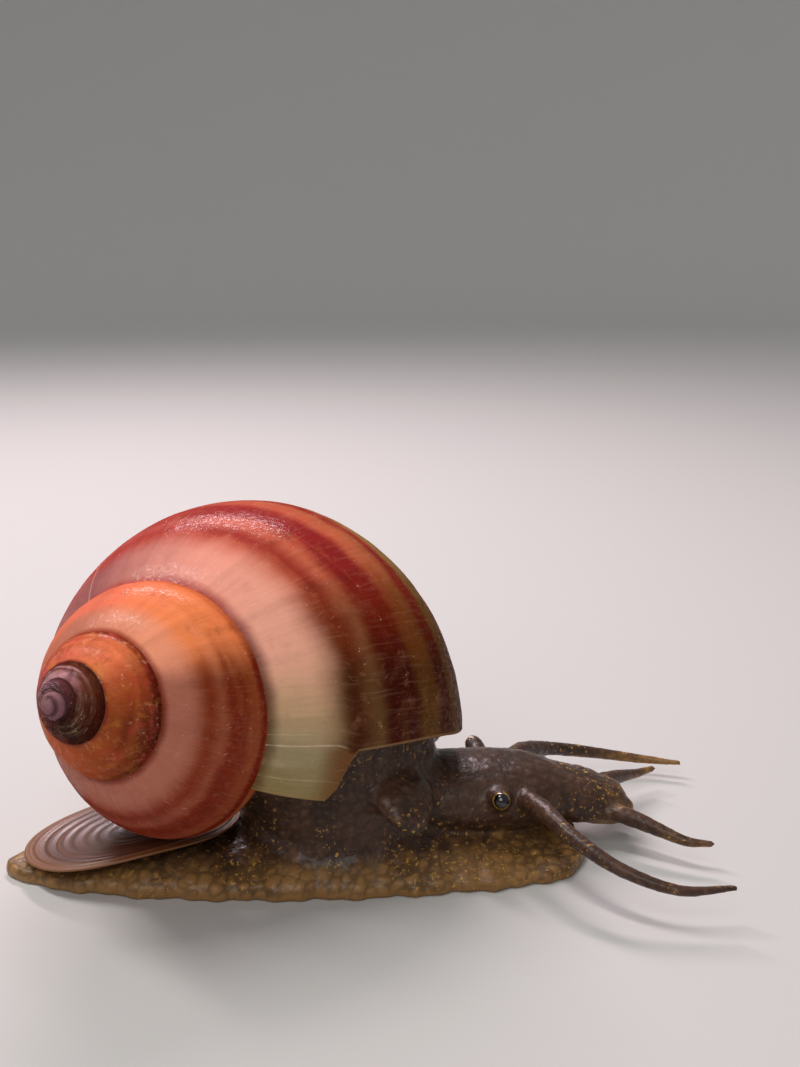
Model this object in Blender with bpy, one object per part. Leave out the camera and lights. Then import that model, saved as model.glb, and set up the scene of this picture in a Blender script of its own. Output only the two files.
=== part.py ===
"""Apple snail, life size, crawling: coiled shell, broad flat foot, head, feelers and operculum.

Metres, +Z up. The snail faces +X, its right side is -Y, and its sole lies on Z = 0.
"""
import math

import bmesh
import bpy
import numpy as np
from mathutils import Vector

MM = 0.001
TAU = 2 * math.pi
GAP = 0.3 * MM

# The middle of the animal's footprint is moved onto the origin by this much
SHIFT = Vector((-6.87 * MM, 2.88 * MM, 0.0))

# Shell: its apex, the way the coiling axis points, and the turn of the lip about that axis
APEX = Vector((-23.8 * MM, -18.3 * MM, 25.3 * MM))
AXIS_AZIMUTH = math.radians(-126.74)
AXIS_RISE = math.radians(16.13)
LIP_TURN = math.radians(-177.95)

# Shell: section of the last whorl at its lip, as radius from the axis and distance along it
TOP_R, TOP_Z = 4.46 * MM, -12.86 * MM
WIDEST_R, WIDEST_Z = 23.02 * MM, -33.92 * MM
LOWEST_R, LOWEST_Z = 11.08 * MM, -45.50 * MM
INNER_R, INNER_Z = 0.92 * MM, -26.51 * MM
SHOULDER_POWER = 1.68
SECTION_EASE = 0.12

# Shell: growth for each radian turned, and each turn of the spire: first and last angle, stations, sides
GROWTH_R = 0.09674
GROWTH_Z = 0.11757
BODY_START = -5.5
COILS = ((-29.1, -23.15, 16, 8), (-23.2, -17.3, 20, 14), (-17.3, -11.4, 24, 18), (-11.4, BODY_START, 30, 24))
COIL_CLEARANCE = 1.7 * GAP
MOST_TURN = 0.12

# Shell: the rounded tip of the spire and the core that closes it on the axis
DOME_ANGLES = np.radians((80, 60, 40, 20))
CORE_RADIUS = 0.45 * MM
CORE_DEPTHS = (0.45, 0.7, 1.0, 1.4)

# Shell: its mouth, and the lip's edge, which runs furthest on in a strip of new growth at the suture
BODY_STATIONS, BODY_AROUND = 36, 30
LIP_WALL = 0.9 * MM
MOUTH_DEPTH = 0.85
MOUTH_STATIONS = 8
LIP_SWEEP = 0.245
NEW_GROWTH = 0.27
NEW_GROWTH_EDGE = 0.64
NEW_GROWTH_BLEND = 0.09
SUTURE_V = 1.05

# Foot: its length, its widest half, and how thick it is at the rim and along the middle
TAIL_X, TOE_X = -31.0 * MM, 28.5 * MM
FOOT_HALF = 11.0 * MM
FOOT_WIDEST = 0.68
FOOT_RIM = 1.2 * MM
FOOT_CUTS = (-9.0 * MM, 9.0 * MM)
FOOT_AROUND = 24

# Body column: the oval by which it stands on the foot
COLUMN_X, COLUMN_LONG, COLUMN_WIDE = 3.6 * MM, 10.8 * MM, 8.6 * MM
COLUMN_WAIST = 0.12
COLUMN_FOOT_Z = 2.4 * MM
COLUMN_INSET = 2.6 * MM
MANTLE_EDGE = -0.14

# Operculum: a thin horny plate carried on the tail
OPERCULUM_X, OPERCULUM_LONG, OPERCULUM_WIDE = -18.0 * MM, 11.0 * MM, 7.6 * MM
OPERCULUM_THICK = 0.7 * MM
PLATE_PROFILE = ((0.0, 0.04), (0.0, 0.55), (0.0, 0.94), (0.5, 1.0), (1.0, 0.94), (1.0, 0.55), (1.0, 0.04))

# Head and feelers: paths and half sizes in millimetres
PATH_SAMPLES = 120
HEAD_POINTS = ((8, 0, 6.4), (15, 0, 6.2), (20.5, 0, 6.1), (24.0, 0, 5.8), (26.4, 0, 5.5))
HEAD_HALVES = ((5.6, 3.9), (5.9, 4.0), (5.9, 3.9), (5.1, 3.5), (3.6, 2.7))
SNOUT_POINTS = ((22.3, 0, 5.8), (25.8, 0, 5.3), (29.3, 0, 4.8), (32.2, 0, 4.2), (33.4, 0, 3.9))
SNOUT_HALVES = ((3.9, 3.0), (4.1, 2.9), (4.3, 2.7), (4.0, 2.3), (2.9, 1.5))
MOUTH_SLIT = (1.6 * MM, 0.55 * MM, 2.6 * MM)
MOUTH_X, MOUTH_Z = 34.0 * MM, 3.5 * MM
LIP_HALVES = ((1.5, 1.9), (1.5, 1.8), (0.8, 1.1))
PALP_POINTS = ((30.4, 2.6, 4.3), (33.0, 4.6, 4.1), (35.6, 6.8, 3.5), (38.0, 8.6, 2.9), (40.3, 9.6, 2.9))
PALP_RADII = (1.05, 0.95, 0.75, 0.55, 0.35)
LEFT_TENTACLE = ((21.6, 3.8, 6.8), (24.4, 8.0, 6.7), (28.8, 12.2, 5.0), (34.4, 14.6, 3.2), (40.0, 14.6, 2.1),
                 (44.6, 12.8, 2.0))
RIGHT_TENTACLE = ((21.6, -3.8, 6.8), (22.8, -8.6, 7.4), (24.6, -13.6, 6.7), (28.2, -17.8, 5.2),
                  (33.2, -20.4, 4.0), (38.4, -21.0, 4.2))
TENTACLE_RADII = (1.15, 1.0, 0.85, 0.7, 0.55, 0.32)
TENTACLE_PARTS = (0.0, 0.34, 0.67, 1.0)
EYE_STALK_POINTS = ((19.2, 3.6, 6.8), (19.1, 5.9, 7.5), (18.9, 7.2, 8.0))
EYE_STALK_RADII = (1.5, 1.2, 1.05)
EYE_RADIUS = 0.85 * MM

# Neck lobes: the rolled breathing siphon on the left and the plain lobe on the right
SIPHON_POINTS = ((7.5, 4.2, 7.6), (8.8, 7.8, 8.0), (11.0, 11.0, 8.2), (13.8, 13.2, 8.4))
SIPHON_HALVES = ((2.6, 2.4), (2.6, 2.3), (2.7, 2.3), (2.9, 2.4))
SIPHON_WALL = 0.8 * MM
SIPHON_BORE_DEPTH = 0.62
LOBE_POINTS = ((8.0, -4.5, 8.4), (9.0, -7.6, 8.6), (10.2, -9.6, 8.2))
LOBE_HALVES = ((3.2, 1.6), (3.0, 1.3), (1.9, 0.9))

SHELL_RUST = ((0.36, 0.10, 0.05, 1), 0.28)
SHELL_CORAL = ((0.55, 0.16, 0.06, 1), 0.28)
SHELL_PLUM = ((0.10, 0.03, 0.04, 1), 0.45)
SKIN_DARK = ((0.10, 0.07, 0.05, 1), 0.45)
SKIN_GOLD = ((0.28, 0.18, 0.07, 1), 0.45)
HORN_BROWN = ((0.13, 0.06, 0.03, 1), 0.4)
EYE_BLACK = ((0.01, 0.01, 0.01, 1), 0.1)


def material(name, look):
    """Principled material with one colour and roughness."""
    mat = bpy.data.materials.get(name) or bpy.data.materials.new(name)
    mat.use_nodes = True
    shader = mat.node_tree.nodes["Principled BSDF"]
    shader.inputs["Base Color"].default_value = look[0]
    shader.inputs["Roughness"].default_value = look[1]
    shader.inputs["Metallic"].default_value = 0.0
    return mat


def add_object(name, verts, faces, look=None):
    """New mesh object, with its faces turned outward."""
    mesh = bpy.data.meshes.new(name)
    mesh.from_pydata([tuple(map(float, p)) for p in verts], [], faces)
    bm = bmesh.new()
    bm.from_mesh(mesh)
    if bm.calc_volume(signed=True) < 0:
        bmesh.ops.reverse_faces(bm, faces=bm.faces[:])
    bm.to_mesh(mesh)
    bm.free()
    mesh.update()
    obj = bpy.data.objects.new(name, mesh)
    bpy.context.scene.collection.objects.link(obj)
    if look:
        mesh.materials.append(material("finish_" + name, look))
    return obj


def ring_faces(rings, around):
    """Quads between neighbouring rings of a grid whose rings are closed."""
    faces = []
    for i in range(rings - 1):
        for j in range(around):
            k = (j + 1) % around
            a, b = i * around, (i + 1) * around
            faces.append((a + j, a + k, b + k, b + j))
    return faces


def ring_body(name, rings, look=None):
    """Closed body through a stack of rings, with a fan of triangles over each end."""
    rings = np.asarray(rings, float)
    count, around = rings.shape[:2]
    verts = np.concatenate([rings.reshape(-1, 3), rings[0].mean(0)[None], rings[-1].mean(0)[None]])
    faces = ring_faces(count, around)
    first, last = count * around, count * around + 1
    for j in range(around):
        k = (j + 1) % around
        faces.append((first, k, j))
        faces.append((last, (count - 1) * around + j, (count - 1) * around + k))
    return add_object(name, verts, faces, look)


def keep_largest(obj):
    """Leaves only the closed surface with the most volume."""
    bm = bmesh.new()
    bm.from_mesh(obj.data)
    bmesh.ops.triangulate(bm, faces=bm.faces[:])
    left = set(bm.faces)
    pieces = []
    while left:
        stack = [left.pop()]
        piece = list(stack)
        while stack:
            for edge in stack.pop().edges:
                for face in edge.link_faces:
                    if face in left:
                        left.remove(face)
                        stack.append(face)
                        piece.append(face)
        volume = 0.0
        for face in piece:
            a, b, c = (v.co for v in face.verts)
            volume += a.dot(b.cross(c)) / 6
        pieces.append((volume, piece))
    pieces.sort(key=lambda item: item[0])
    scraps = [face for _, piece in pieces[:-1] for face in piece]
    if scraps:
        bmesh.ops.delete(bm, geom=scraps, context="FACES")
    bm.to_mesh(obj.data)
    bm.free()


def combine(obj, others, operation):
    """Applies a Boolean with each of the other objects and removes them."""
    group = bpy.data.collections.new("tools_" + obj.name)
    bpy.context.scene.collection.children.link(group)
    for other in others:
        bpy.context.scene.collection.objects.unlink(other)
        group.objects.link(other)
    step = obj.modifiers.new("combine", "BOOLEAN")
    step.operation = operation
    step.solver = "EXACT"
    step.operand_type = "COLLECTION"
    step.collection = group
    bpy.context.view_layer.update()
    graph = bpy.context.evaluated_depsgraph_get()
    mesh = bpy.data.meshes.new_from_object(obj.evaluated_get(graph))
    obj.modifiers.clear()
    obj.data = mesh
    for other in list(group.objects):
        bpy.data.objects.remove(other)
    bpy.data.collections.remove(group)
    keep_largest(obj)
    return obj


def grown(obj, gap=GAP):
    """Copy of a body with every face moved outward, for cutting its neighbours clear of it."""
    bm = bmesh.new()
    bm.from_mesh(obj.data)
    bm.normal_update()
    moved = [v.co + v.normal * gap * min(v.calc_shell_factor(), 1.6) for v in bm.verts]
    for v, place in zip(bm.verts, moved):
        v.co = place
    mesh = bpy.data.meshes.new("grown_" + obj.name)
    bm.to_mesh(mesh)
    bm.free()
    copy = bpy.data.objects.new("grown_" + obj.name, mesh)
    bpy.context.scene.collection.objects.link(copy)
    return copy


def smooth_step(x):
    """Rises from 0 to 1 as x goes from 0 to 1, level at both ends."""
    x = np.clip(x, 0, 1)
    return x * x * (3 - 2 * x)


def quarter_section(v, inset_r, inset_z):
    """Whorl section made of four quarter ovals: v is 0 at the widest point and a quarter turn at the top."""
    v = np.mod(v + np.pi, TAU) - np.pi
    c, s = np.cos(v), np.sin(v)
    shoulder = (c >= 0) & (s >= 0)
    bend = np.where(shoulder, 2 / SHOULDER_POWER, 1.0)
    across, along = np.abs(c) ** bend, np.abs(s) ** bend
    wide, inner = WIDEST_R - inset_r, np.maximum(INNER_R + inset_r, 0.25 * INNER_R)
    top, low = TOP_Z - inset_z, LOWEST_Z + inset_z
    r_mid = np.where(s >= 0, TOP_R, LOWEST_R)
    z_mid = np.where(c >= 0, WIDEST_Z, INNER_Z)
    r = r_mid + np.where(c >= 0, wide - r_mid, inner - r_mid) * across
    z = z_mid + np.where(s >= 0, top - z_mid, low - z_mid) * along
    return r, z


def shell_point(growth, v, inset=0.0):
    """Points of the shell's surface, inset by a real distance, in the part's frame."""
    growth, v = np.broadcast_arrays(np.asarray(growth, float), np.asarray(v, float))
    grow_r, grow_z = np.exp(GROWTH_R * growth), np.exp(GROWTH_Z * growth)
    r, z = 0.0, 0.0
    for turn, share in ((-SECTION_EASE, 0.25), (0.0, 0.5), (SECTION_EASE, 0.25)):
        ring_r, ring_z = quarter_section(v + turn, inset / grow_r, inset / grow_z)
        r, z = r + share * ring_r, z + share * ring_z
    r, z = r * grow_r, z * grow_z
    axis, level, upward = shell_axis()
    turn = (LIP_TURN + growth)[..., None]
    radial = np.cos(turn) * level + np.sin(turn) * upward
    return np.array(APEX) + r[..., None] * radial + z[..., None] * axis


def lip_growth(v):
    """Growth angle of the lip at each place of the section, furthest on in the new strip at the suture."""
    v = np.mod(v + np.pi, TAU) - np.pi
    fade = 1 - smooth_step((v - 1.3) / 1.2)
    sweep = LIP_SWEEP * np.clip(v, 0, SUTURE_V + 0.1) ** 2
    fresh = NEW_GROWTH * smooth_step((v - NEW_GROWTH_EDGE) / NEW_GROWTH_BLEND)
    return (sweep + fresh) * fade


def whorl(name, start, end, stations, around, inset=0.0, look=None, rounded=False):
    """Closed tube of shell between two growth angles, its first end flat or rounded off."""
    growth = np.linspace(start, end, stations)[:, None]
    v = np.linspace(0, TAU, around, endpoint=False)[None]
    rings = shell_point(growth, v, inset)
    if rounded:
        middle = rings[0].mean(0)
        back = (rings[0] - rings[1]).mean(0)
        back *= np.linalg.norm(rings[0] - middle, axis=1).mean() / np.linalg.norm(back)
        dome = [middle + (rings[0] - middle) * math.cos(a) + back * math.sin(a) for a in DOME_ANGLES]
        rings = np.concatenate([dome, rings])
    return ring_body(name, rings, look)


def last_whorl(name, start, depth, stations, outer, inner, past=0.0, look=None):
    """The last whorl with its open mouth: out to the lip, over its rim, and back to the mouth's floor."""
    v = np.linspace(0, TAU, BODY_AROUND, endpoint=False)[None]
    lip = lip_growth(v) + past
    share = np.linspace(0, 1, stations)[:, None] ** 0.9
    outside = shell_point(start + share * (lip - start), v, outer)
    back = np.linspace(0, 1, MOUTH_STATIONS)[:, None]
    inside = shell_point(lip + back * (-depth - lip), v, inner)
    return ring_body(name, np.concatenate([outside, inside]), look)


def shell_axis():
    """Direction from the shell's base to its apex, and two directions square to it."""
    flat = math.cos(AXIS_RISE)
    axis = Vector((flat * math.cos(AXIS_AZIMUTH), flat * math.sin(AXIS_AZIMUTH), math.sin(AXIS_RISE)))
    level = axis.cross(Vector((0, 0, 1))).normalized()
    return np.array(axis), np.array(level), np.array(level.cross(axis))


def core_ring(depth):
    """Small ring about the coiling axis, a given number of millimetres below the apex."""
    axis, level, upward = shell_axis()
    angle = np.linspace(0, TAU, 8, endpoint=False)[:, None]
    round_axis = np.cos(angle) * level + np.sin(angle) * upward
    return np.array(APEX) - axis * depth * MM + CORE_RADIUS * round_axis


def coil(name, index, gap=0.0, look=None):
    """One turn of the spire, 0 at its tip, or the same turn grown by a gap at its sides and ends."""
    start, end, stations, around = COILS[index]
    turn = min(2 * gap / (WIDEST_R * math.exp(GROWTH_R * end)), MOST_TURN)
    rounded = index == 0 and gap == 0
    return whorl(name, start - turn, end + turn, stations, around, -gap, look, rounded)


def clear_of_coils(obj, indices):
    """Cuts a body clear of some turns of the spire."""
    for index in indices:
        combine(obj, [coil("cut_coil", index, COIL_CLEARANCE)], "DIFFERENCE")
    return obj


def make_shell():
    """Body whorl, two whorls above it and the apex, each cut clear of the ones before."""
    core = ring_body("tip_core", [core_ring(depth) for depth in CORE_DEPTHS])
    combine(coil("shell_apex", 1, look=SHELL_PLUM), [coil("tip", 0), core], "UNION")
    clear_of_coils(coil("shell_third_whorl", 2, look=SHELL_CORAL), (0, 1))
    clear_of_coils(coil("shell_penultimate_whorl", 3, look=SHELL_RUST), (1, 2))
    body = last_whorl("shell_body_whorl", BODY_START, MOUTH_DEPTH, BODY_STATIONS, 0.0, LIP_WALL,
                      look=SHELL_RUST)
    clear_of_coils(body, (2, 3))


def foot_half_width(x):
    """Half width of the sole: rounded tail, widest before the middle of the front, square-cut toe."""
    u = np.clip((x - TAIL_X) / (TOE_X - TAIL_X), 0, 1)
    tail = 1 - (1 - np.clip(u / FOOT_WIDEST, 0, 1)) ** 1.8
    toe = 1 - np.clip((u - FOOT_WIDEST) / (1 - FOOT_WIDEST), 0, 1) ** 4.0
    return FOOT_HALF * np.where(u < FOOT_WIDEST, tail ** 0.58, toe ** 0.25)


def foot_crown(x):
    """Height of the foot along its middle."""
    u = np.clip((x - TAIL_X) / (TOE_X - TAIL_X), 0, 1)
    return (1.3 + 2.5 * smooth_step(u / 0.3) + 0.9 * smooth_step((u - 0.35) / 0.2)
            - 3.1 * smooth_step((u - 0.62) / 0.38)) * MM


def foot_ring(x, around, gap=0.0):
    """Cross-section of the foot: flat sole, thin rounded rim and a low crown."""
    half = max(float(foot_half_width(x)), 0.4 * MM) + gap
    side = np.linspace(-1, 1, around // 2)
    side = np.sin(side * np.pi / 2)
    rim = min(FOOT_RIM, 0.8 * half)
    crown = rim + (max(float(foot_crown(x)), rim) - rim) * (1 - np.abs(side) ** 2.6)
    edge = np.sqrt(np.clip(1 - np.abs(side) ** 8, 0, 1))
    top = crown * edge + 0.12 * MM + gap
    upper = np.stack([np.full_like(side, x), side * half, top], -1)
    lower = np.stack([np.full_like(side, x), side[::-1] * half * 0.97, np.full_like(side, -gap)], -1)
    return np.concatenate([upper, lower])


def foot_stations(start, end, count):
    """Stations along the foot, closer together towards its two ends."""
    middle, reach = (TAIL_X + TOE_X) / 2, (TOE_X - TAIL_X) / 2
    first, last = math.asin((start - middle) / reach), math.asin((end - middle) / reach)
    return middle + reach * np.sin(np.linspace(first, last, count))


def foot_lengths():
    """Names and stations of the foot's three lengths, parted by the gap."""
    end, half_gap = 0.02 * MM, GAP / 2
    return (("foot_tail", foot_stations(TAIL_X + end, FOOT_CUTS[0] - half_gap, 11)),
            ("foot_middle", foot_stations(FOOT_CUTS[0] + half_gap, FOOT_CUTS[1] - half_gap, 6)),
            ("foot_front", foot_stations(FOOT_CUTS[1] + half_gap, TOE_X - end, 11)))


def make_foot():
    """Tail, middle and front of the foot."""
    for name, stations in foot_lengths():
        ring_body(name, [foot_ring(x, FOOT_AROUND) for x in stations], SKIN_GOLD)


def foot_cutter():
    """The whole foot grown by the gap."""
    stations = np.concatenate([xs for _, xs in foot_lengths()])
    return ring_body("cut_foot", [foot_ring(x, FOOT_AROUND, GAP) for x in stations])


def curve_through(points, count):
    """Smooth path through a few points given in millimetres, by the Catmull-Rom rule."""
    p = np.asarray(points, float) * MM
    p = np.vstack([2 * p[0] - p[1], p, 2 * p[-1] - p[-2]])
    spans = len(p) - 3
    t = np.linspace(0, spans, count)
    i = np.minimum(t.astype(int), spans - 1)
    f = (t - i)[:, None]
    a, b, c, d = p[i], p[i + 1], p[i + 2], p[i + 3]
    square, cube = 2 * a - 5 * b + 4 * c - d, 3 * b - a - 3 * c + d
    return 0.5 * (2 * b + (c - a) * f + square * f ** 2 + cube * f ** 3)


def limb_rings(path, halves, around):
    """Oval rings square to a path, each with a half width and a half height."""
    ahead = np.gradient(path, axis=0)
    ahead /= np.linalg.norm(ahead, axis=1)[:, None]
    side = np.cross((0, 0, 1), ahead)
    side /= np.linalg.norm(side, axis=1)[:, None]
    upward = np.cross(ahead, side)
    angle = np.linspace(0, TAU, around, endpoint=False)
    wide = np.cos(angle)[None, :, None] * side[:, None] * halves[:, 0, None, None]
    tall = np.sin(angle)[None, :, None] * upward[:, None] * halves[:, 1, None, None]
    return path[:, None] + wide + tall


def spread(values, count):
    """Sizes in millimetres given at a few places, eased to a number of stations."""
    values = np.asarray(values, float) * MM
    if values.ndim == 1:
        values = np.stack([values, values], -1)
    at = np.linspace(0, len(values) - 1, count)
    return np.stack([np.interp(at, np.arange(len(values)), values[:, k]) for k in range(2)], -1)


def limb(name, points, sizes, stations, around, span=(0.0, 1.0), look=None, gap=0.0):
    """Tapered round limb along a smooth path, or the part of it between two shares of its length."""
    path = curve_through(points, PATH_SAMPLES + 1)
    halves = spread(sizes, PATH_SAMPLES + 1) + gap
    pick = np.linspace(span[0] * PATH_SAMPLES, span[1] * PATH_SAMPLES, stations)
    low = np.floor(pick).astype(int)
    high = np.minimum(low + 1, PATH_SAMPLES)
    part = (pick - low)[:, None]
    path = path[low] * (1 - part) + path[high] * part
    halves = halves[low] * (1 - part) + halves[high] * part
    return ring_body(name, limb_rings(path, halves, around), look)


def mirror_points(points):
    """The same points on the other side of the animal."""
    return tuple((x, -y, z) for x, y, z in points)


def make_mantle():
    """Flesh that fills the shell's mouth, thick at its edge."""
    mantle = whorl("mantle", -MOUTH_DEPTH + 0.12, MANTLE_EDGE, 7, BODY_AROUND, LIP_WALL + GAP, SKIN_DARK)
    return clear_of_coils(mantle, (2, 3))


def make_column(operculum):
    """Body column: from the mouth of the shell down to the foot."""
    v = np.linspace(0, TAU, BODY_AROUND, endpoint=False)
    ahead = shell_point(MANTLE_EDGE + 0.01, 0.0) - shell_point(MANTLE_EDGE, 0.0)
    ahead /= np.linalg.norm(ahead)
    top = shell_point(np.full_like(v, MANTLE_EDGE), v, COLUMN_INSET) + GAP * ahead
    angle = np.arctan2(top[:, 1] - top[:, 1].mean(), top[:, 0] - top[:, 0].mean())
    low = np.stack([COLUMN_X + COLUMN_LONG * np.cos(angle), COLUMN_WIDE * np.sin(angle),
                    np.full_like(angle, COLUMN_FOOT_Z)], -1)
    rings = []
    for share in np.linspace(0, 1, 9):
        slide = smooth_step(share)
        ring = top * (1 - slide) + low * slide
        ring[:, 2] = top[:, 2] * (1 - share) + low[:, 2] * share
        middle = ring.mean(0)
        rings.append(middle + (ring - middle) * (1 - COLUMN_WAIST * math.sin(math.pi * share)))
    column = ring_body("body_column", rings, SKIN_DARK)
    tube = whorl("cut_tube", BODY_START - 0.1, -1.0, BODY_STATIONS, BODY_AROUND, -1.3 * GAP)
    lip = last_whorl("cut_lip", -1.2, 0.9, 16, -GAP, LIP_WALL + GAP, 0.02)
    for cutter in (tube, lip, foot_cutter(), grown(operculum)):
        combine(column, [cutter], "DIFFERENCE")
    return clear_of_coils(column, (2, 3))


def make_operculum():
    """Thin oval plate that lies along the top of the tail."""
    rings = []
    angle = np.linspace(0, TAU, 24, endpoint=False)
    for level, scale in PLATE_PROFILE:
        x = OPERCULUM_X + OPERCULUM_LONG * scale * np.cos(angle)
        y = OPERCULUM_WIDE * scale * np.sin(angle) * (1 - 0.12 * np.cos(angle))
        ride = np.array([operculum_bed(a) for a in x])
        rings.append(np.stack([x, y, ride + level * OPERCULUM_THICK], -1))
    return ring_body("operculum", rings, HORN_BROWN)


def operculum_bed(x):
    """Height of the plate's underside, just clear of the foot's crown."""
    return float(foot_crown(x)) + 0.12 * MM + GAP + 0.1 * MM


def make_head(column):
    """Head, snout with its mouth, and the two palps of the snout."""
    head = limb("head", HEAD_POINTS, HEAD_HALVES, 10, 20, look=SKIN_DARK)
    snout = limb("snout", SNOUT_POINTS, SNOUT_HALVES, 9, 18, look=SKIN_GOLD)
    lips = [limb("lip", ((30.6, side * 1.5, 4.0), (33.0, side * 1.5, 3.6), (34.1, side * 1.4, 3.4)),
                 LIP_HALVES, 5, 10) for side in (-1, 1)]
    combine(snout, lips, "UNION")
    palps = []
    for side, points in (("left", PALP_POINTS), ("right", mirror_points(PALP_POINTS))):
        palp = limb("palp_" + side, points, PALP_RADII, 9, 8, look=SKIN_GOLD)
        palps.append(palp)
    for palp in palps:
        combine(palp, [grown(snout)], "DIFFERENCE")
    combine(snout, [grown(head), foot_cutter(), mouth_cutter()], "DIFFERENCE")
    combine(head, [grown(column), foot_cutter()], "DIFFERENCE")
    return head


def mouth_cutter():
    """Wedge that opens the slit of the mouth."""
    deep, wide, tall = MOUTH_SLIT
    ring = []
    for dx, half in ((0.6 * MM, wide), (-deep, 0.15 * MM)):
        low, high = MOUTH_Z - tall / 2, MOUTH_Z + tall / 2
        ring.append([(MOUTH_X + dx, -half / 2, low), (MOUTH_X + dx, half / 2, low),
                     (MOUTH_X + dx, half / 2, high), (MOUTH_X + dx, -half / 2, high)])
    return ring_body("cut_mouth", ring)


def make_feelers(head):
    """Long feelers in three lengths each, and the eyes on their short stalks."""
    for side, points in (("left", LEFT_TENTACLE), ("right", RIGHT_TENTACLE)):
        steps = np.diff(curve_through(points, PATH_SAMPLES + 1), axis=0)
        length = np.linalg.norm(steps, axis=1).sum()
        clear = GAP / length / 2
        for k, part in enumerate(("base", "middle", "tip")):
            span = (TENTACLE_PARTS[k] + (clear if k else 0), TENTACLE_PARTS[k + 1] - (clear if k < 2 else 0))
            piece = limb("tentacle_%s_%s" % (side, part), points, TENTACLE_RADII, 9, 8, span, SKIN_DARK)
            if k == 0:
                combine(piece, [grown(head)], "DIFFERENCE")
    for side, points in (("left", EYE_STALK_POINTS), ("right", mirror_points(EYE_STALK_POINTS))):
        stalk = limb("eye_stalk_" + side, points, EYE_STALK_RADII, 5, 10, look=SKIN_GOLD)
        combine(stalk, [grown(head)], "DIFFERENCE")
        path = curve_through(points, 9)
        ahead = path[-1] - path[-2]
        ahead /= np.linalg.norm(ahead)
        across = np.cross(ahead, (0, 0, 1))
        across /= np.linalg.norm(across)
        upward = np.cross(across, ahead)
        angle = np.linspace(0, TAU, 10, endpoint=False)[:, None]
        round_path = np.cos(angle) * across + np.sin(angle) * upward
        rings = []
        for lift in np.linspace(0.0, 0.98, 5):
            middle = path[-1] + ahead * (GAP + lift * EYE_RADIUS)
            rings.append(middle + EYE_RADIUS * math.sqrt(1 - lift * lift) * round_path)
        ring_body("eye_" + side, rings, EYE_BLACK)


def make_lobes(column):
    """Rolled siphon with its open end on the left of the neck, and the plain lobe on the right."""
    siphon = limb("siphon", SIPHON_POINTS, SIPHON_HALVES, 8, 14, look=SKIN_DARK)
    bore = limb("cut_bore", SIPHON_POINTS + ((14.8, 13.9, 8.5),), SIPHON_HALVES + (SIPHON_HALVES[-1],), 6, 12,
                (SIPHON_BORE_DEPTH, 1.0), gap=-SIPHON_WALL)
    combine(siphon, [bore, grown(column)], "DIFFERENCE")
    lobe = limb("nuchal_lobe", LOBE_POINTS, LOBE_HALVES, 6, 12, look=SKIN_DARK)
    combine(lobe, [grown(column)], "DIFFERENCE")
    return siphon, lobe


def main():
    """Builds every node and moves the whole onto its footprint's middle."""
    for obj in list(bpy.data.objects):
        bpy.data.objects.remove(obj)
    make_shell()
    make_foot()
    make_mantle()
    operculum = make_operculum()
    column = make_column(operculum)
    siphon, lobe = make_lobes(column)
    head = make_head(column)
    for part in (siphon, lobe):
        combine(part, [grown(head)], "DIFFERENCE")
    make_feelers(head)
    for obj in bpy.data.objects:
        for v in obj.data.vertices:
            v.co += SHIFT
        obj.data.shade_smooth()
        obj.data.set_sharp_from_angle(angle=math.radians(40))


main()
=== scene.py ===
"""Apple snail, life size: banded shell, one moist skin, horny operculum and eyes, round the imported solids.

Metres, +Z up. The snail faces +X, its right side is -Y, and its sole lies on Z = 0. The classes hold their
sizes in millimetres and their angles in radians, unless a docstring says otherwise.
"""
import logging
import math
from dataclasses import dataclass, replace
from enum import Enum
from typing import Sequence

import bpy
import numpy as np
from mathutils import Matrix, Vector


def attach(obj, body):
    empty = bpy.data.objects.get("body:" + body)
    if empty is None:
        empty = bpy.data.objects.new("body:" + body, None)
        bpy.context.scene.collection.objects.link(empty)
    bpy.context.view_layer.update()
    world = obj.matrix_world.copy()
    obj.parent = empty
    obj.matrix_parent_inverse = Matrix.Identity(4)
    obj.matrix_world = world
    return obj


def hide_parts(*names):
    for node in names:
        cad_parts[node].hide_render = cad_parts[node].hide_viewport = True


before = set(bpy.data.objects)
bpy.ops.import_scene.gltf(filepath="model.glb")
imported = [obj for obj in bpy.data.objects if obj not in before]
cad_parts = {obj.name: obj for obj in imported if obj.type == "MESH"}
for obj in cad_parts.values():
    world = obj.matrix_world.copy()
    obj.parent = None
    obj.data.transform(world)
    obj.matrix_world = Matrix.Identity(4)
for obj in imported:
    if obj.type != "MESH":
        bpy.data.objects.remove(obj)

log = logging.getLogger("apple_snail")

MM = 0.001
TAU = 2 * math.pi
SHIFT = np.array([-6.87, 2.88, 0.0])
FIRST_GROWTH, LAST_GROWTH = -29.0, 1.0
PLACE_FACTORS = np.array([73856093, 19349663, 83492791])
SEED_FACTOR = 2654435761
BIT_FACTOR = 1274126177
HARD_NODES = ("shell_", "eye_left", "eye_right", "operculum")
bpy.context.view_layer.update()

Color = tuple[float, float, float]
Point = tuple[float, float, float]
Window = tuple[slice, slice, slice]
Piece = bpy.types.Object
Socket = bpy.types.NodeSocket
Value = bpy.types.NodeSocket | float


class Side(Enum):
    """The two sides of the animal, as the sign of Y."""

    LEFT = 1
    RIGHT = -1


def smooth_step(x: np.ndarray) -> np.ndarray:
    """Rises from 0 to 1 as x goes from 0 to 1, level at both ends: 3x^2 - 2x^3."""
    x = np.clip(x, 0, 1)
    return x * x * (3 - 2 * x)


def scramble(at: np.ndarray, seed: int) -> np.ndarray:
    """Turns whole-number places into 31 random bits each: products with large primes, joined bit by bit."""
    mixed = np.bitwise_xor.reduce(at * PLACE_FACTORS, axis=-1) ^ seed * SEED_FACTOR
    return (mixed ^ mixed >> 13) * BIT_FACTOR & 0x7FFFFFFF


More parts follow.
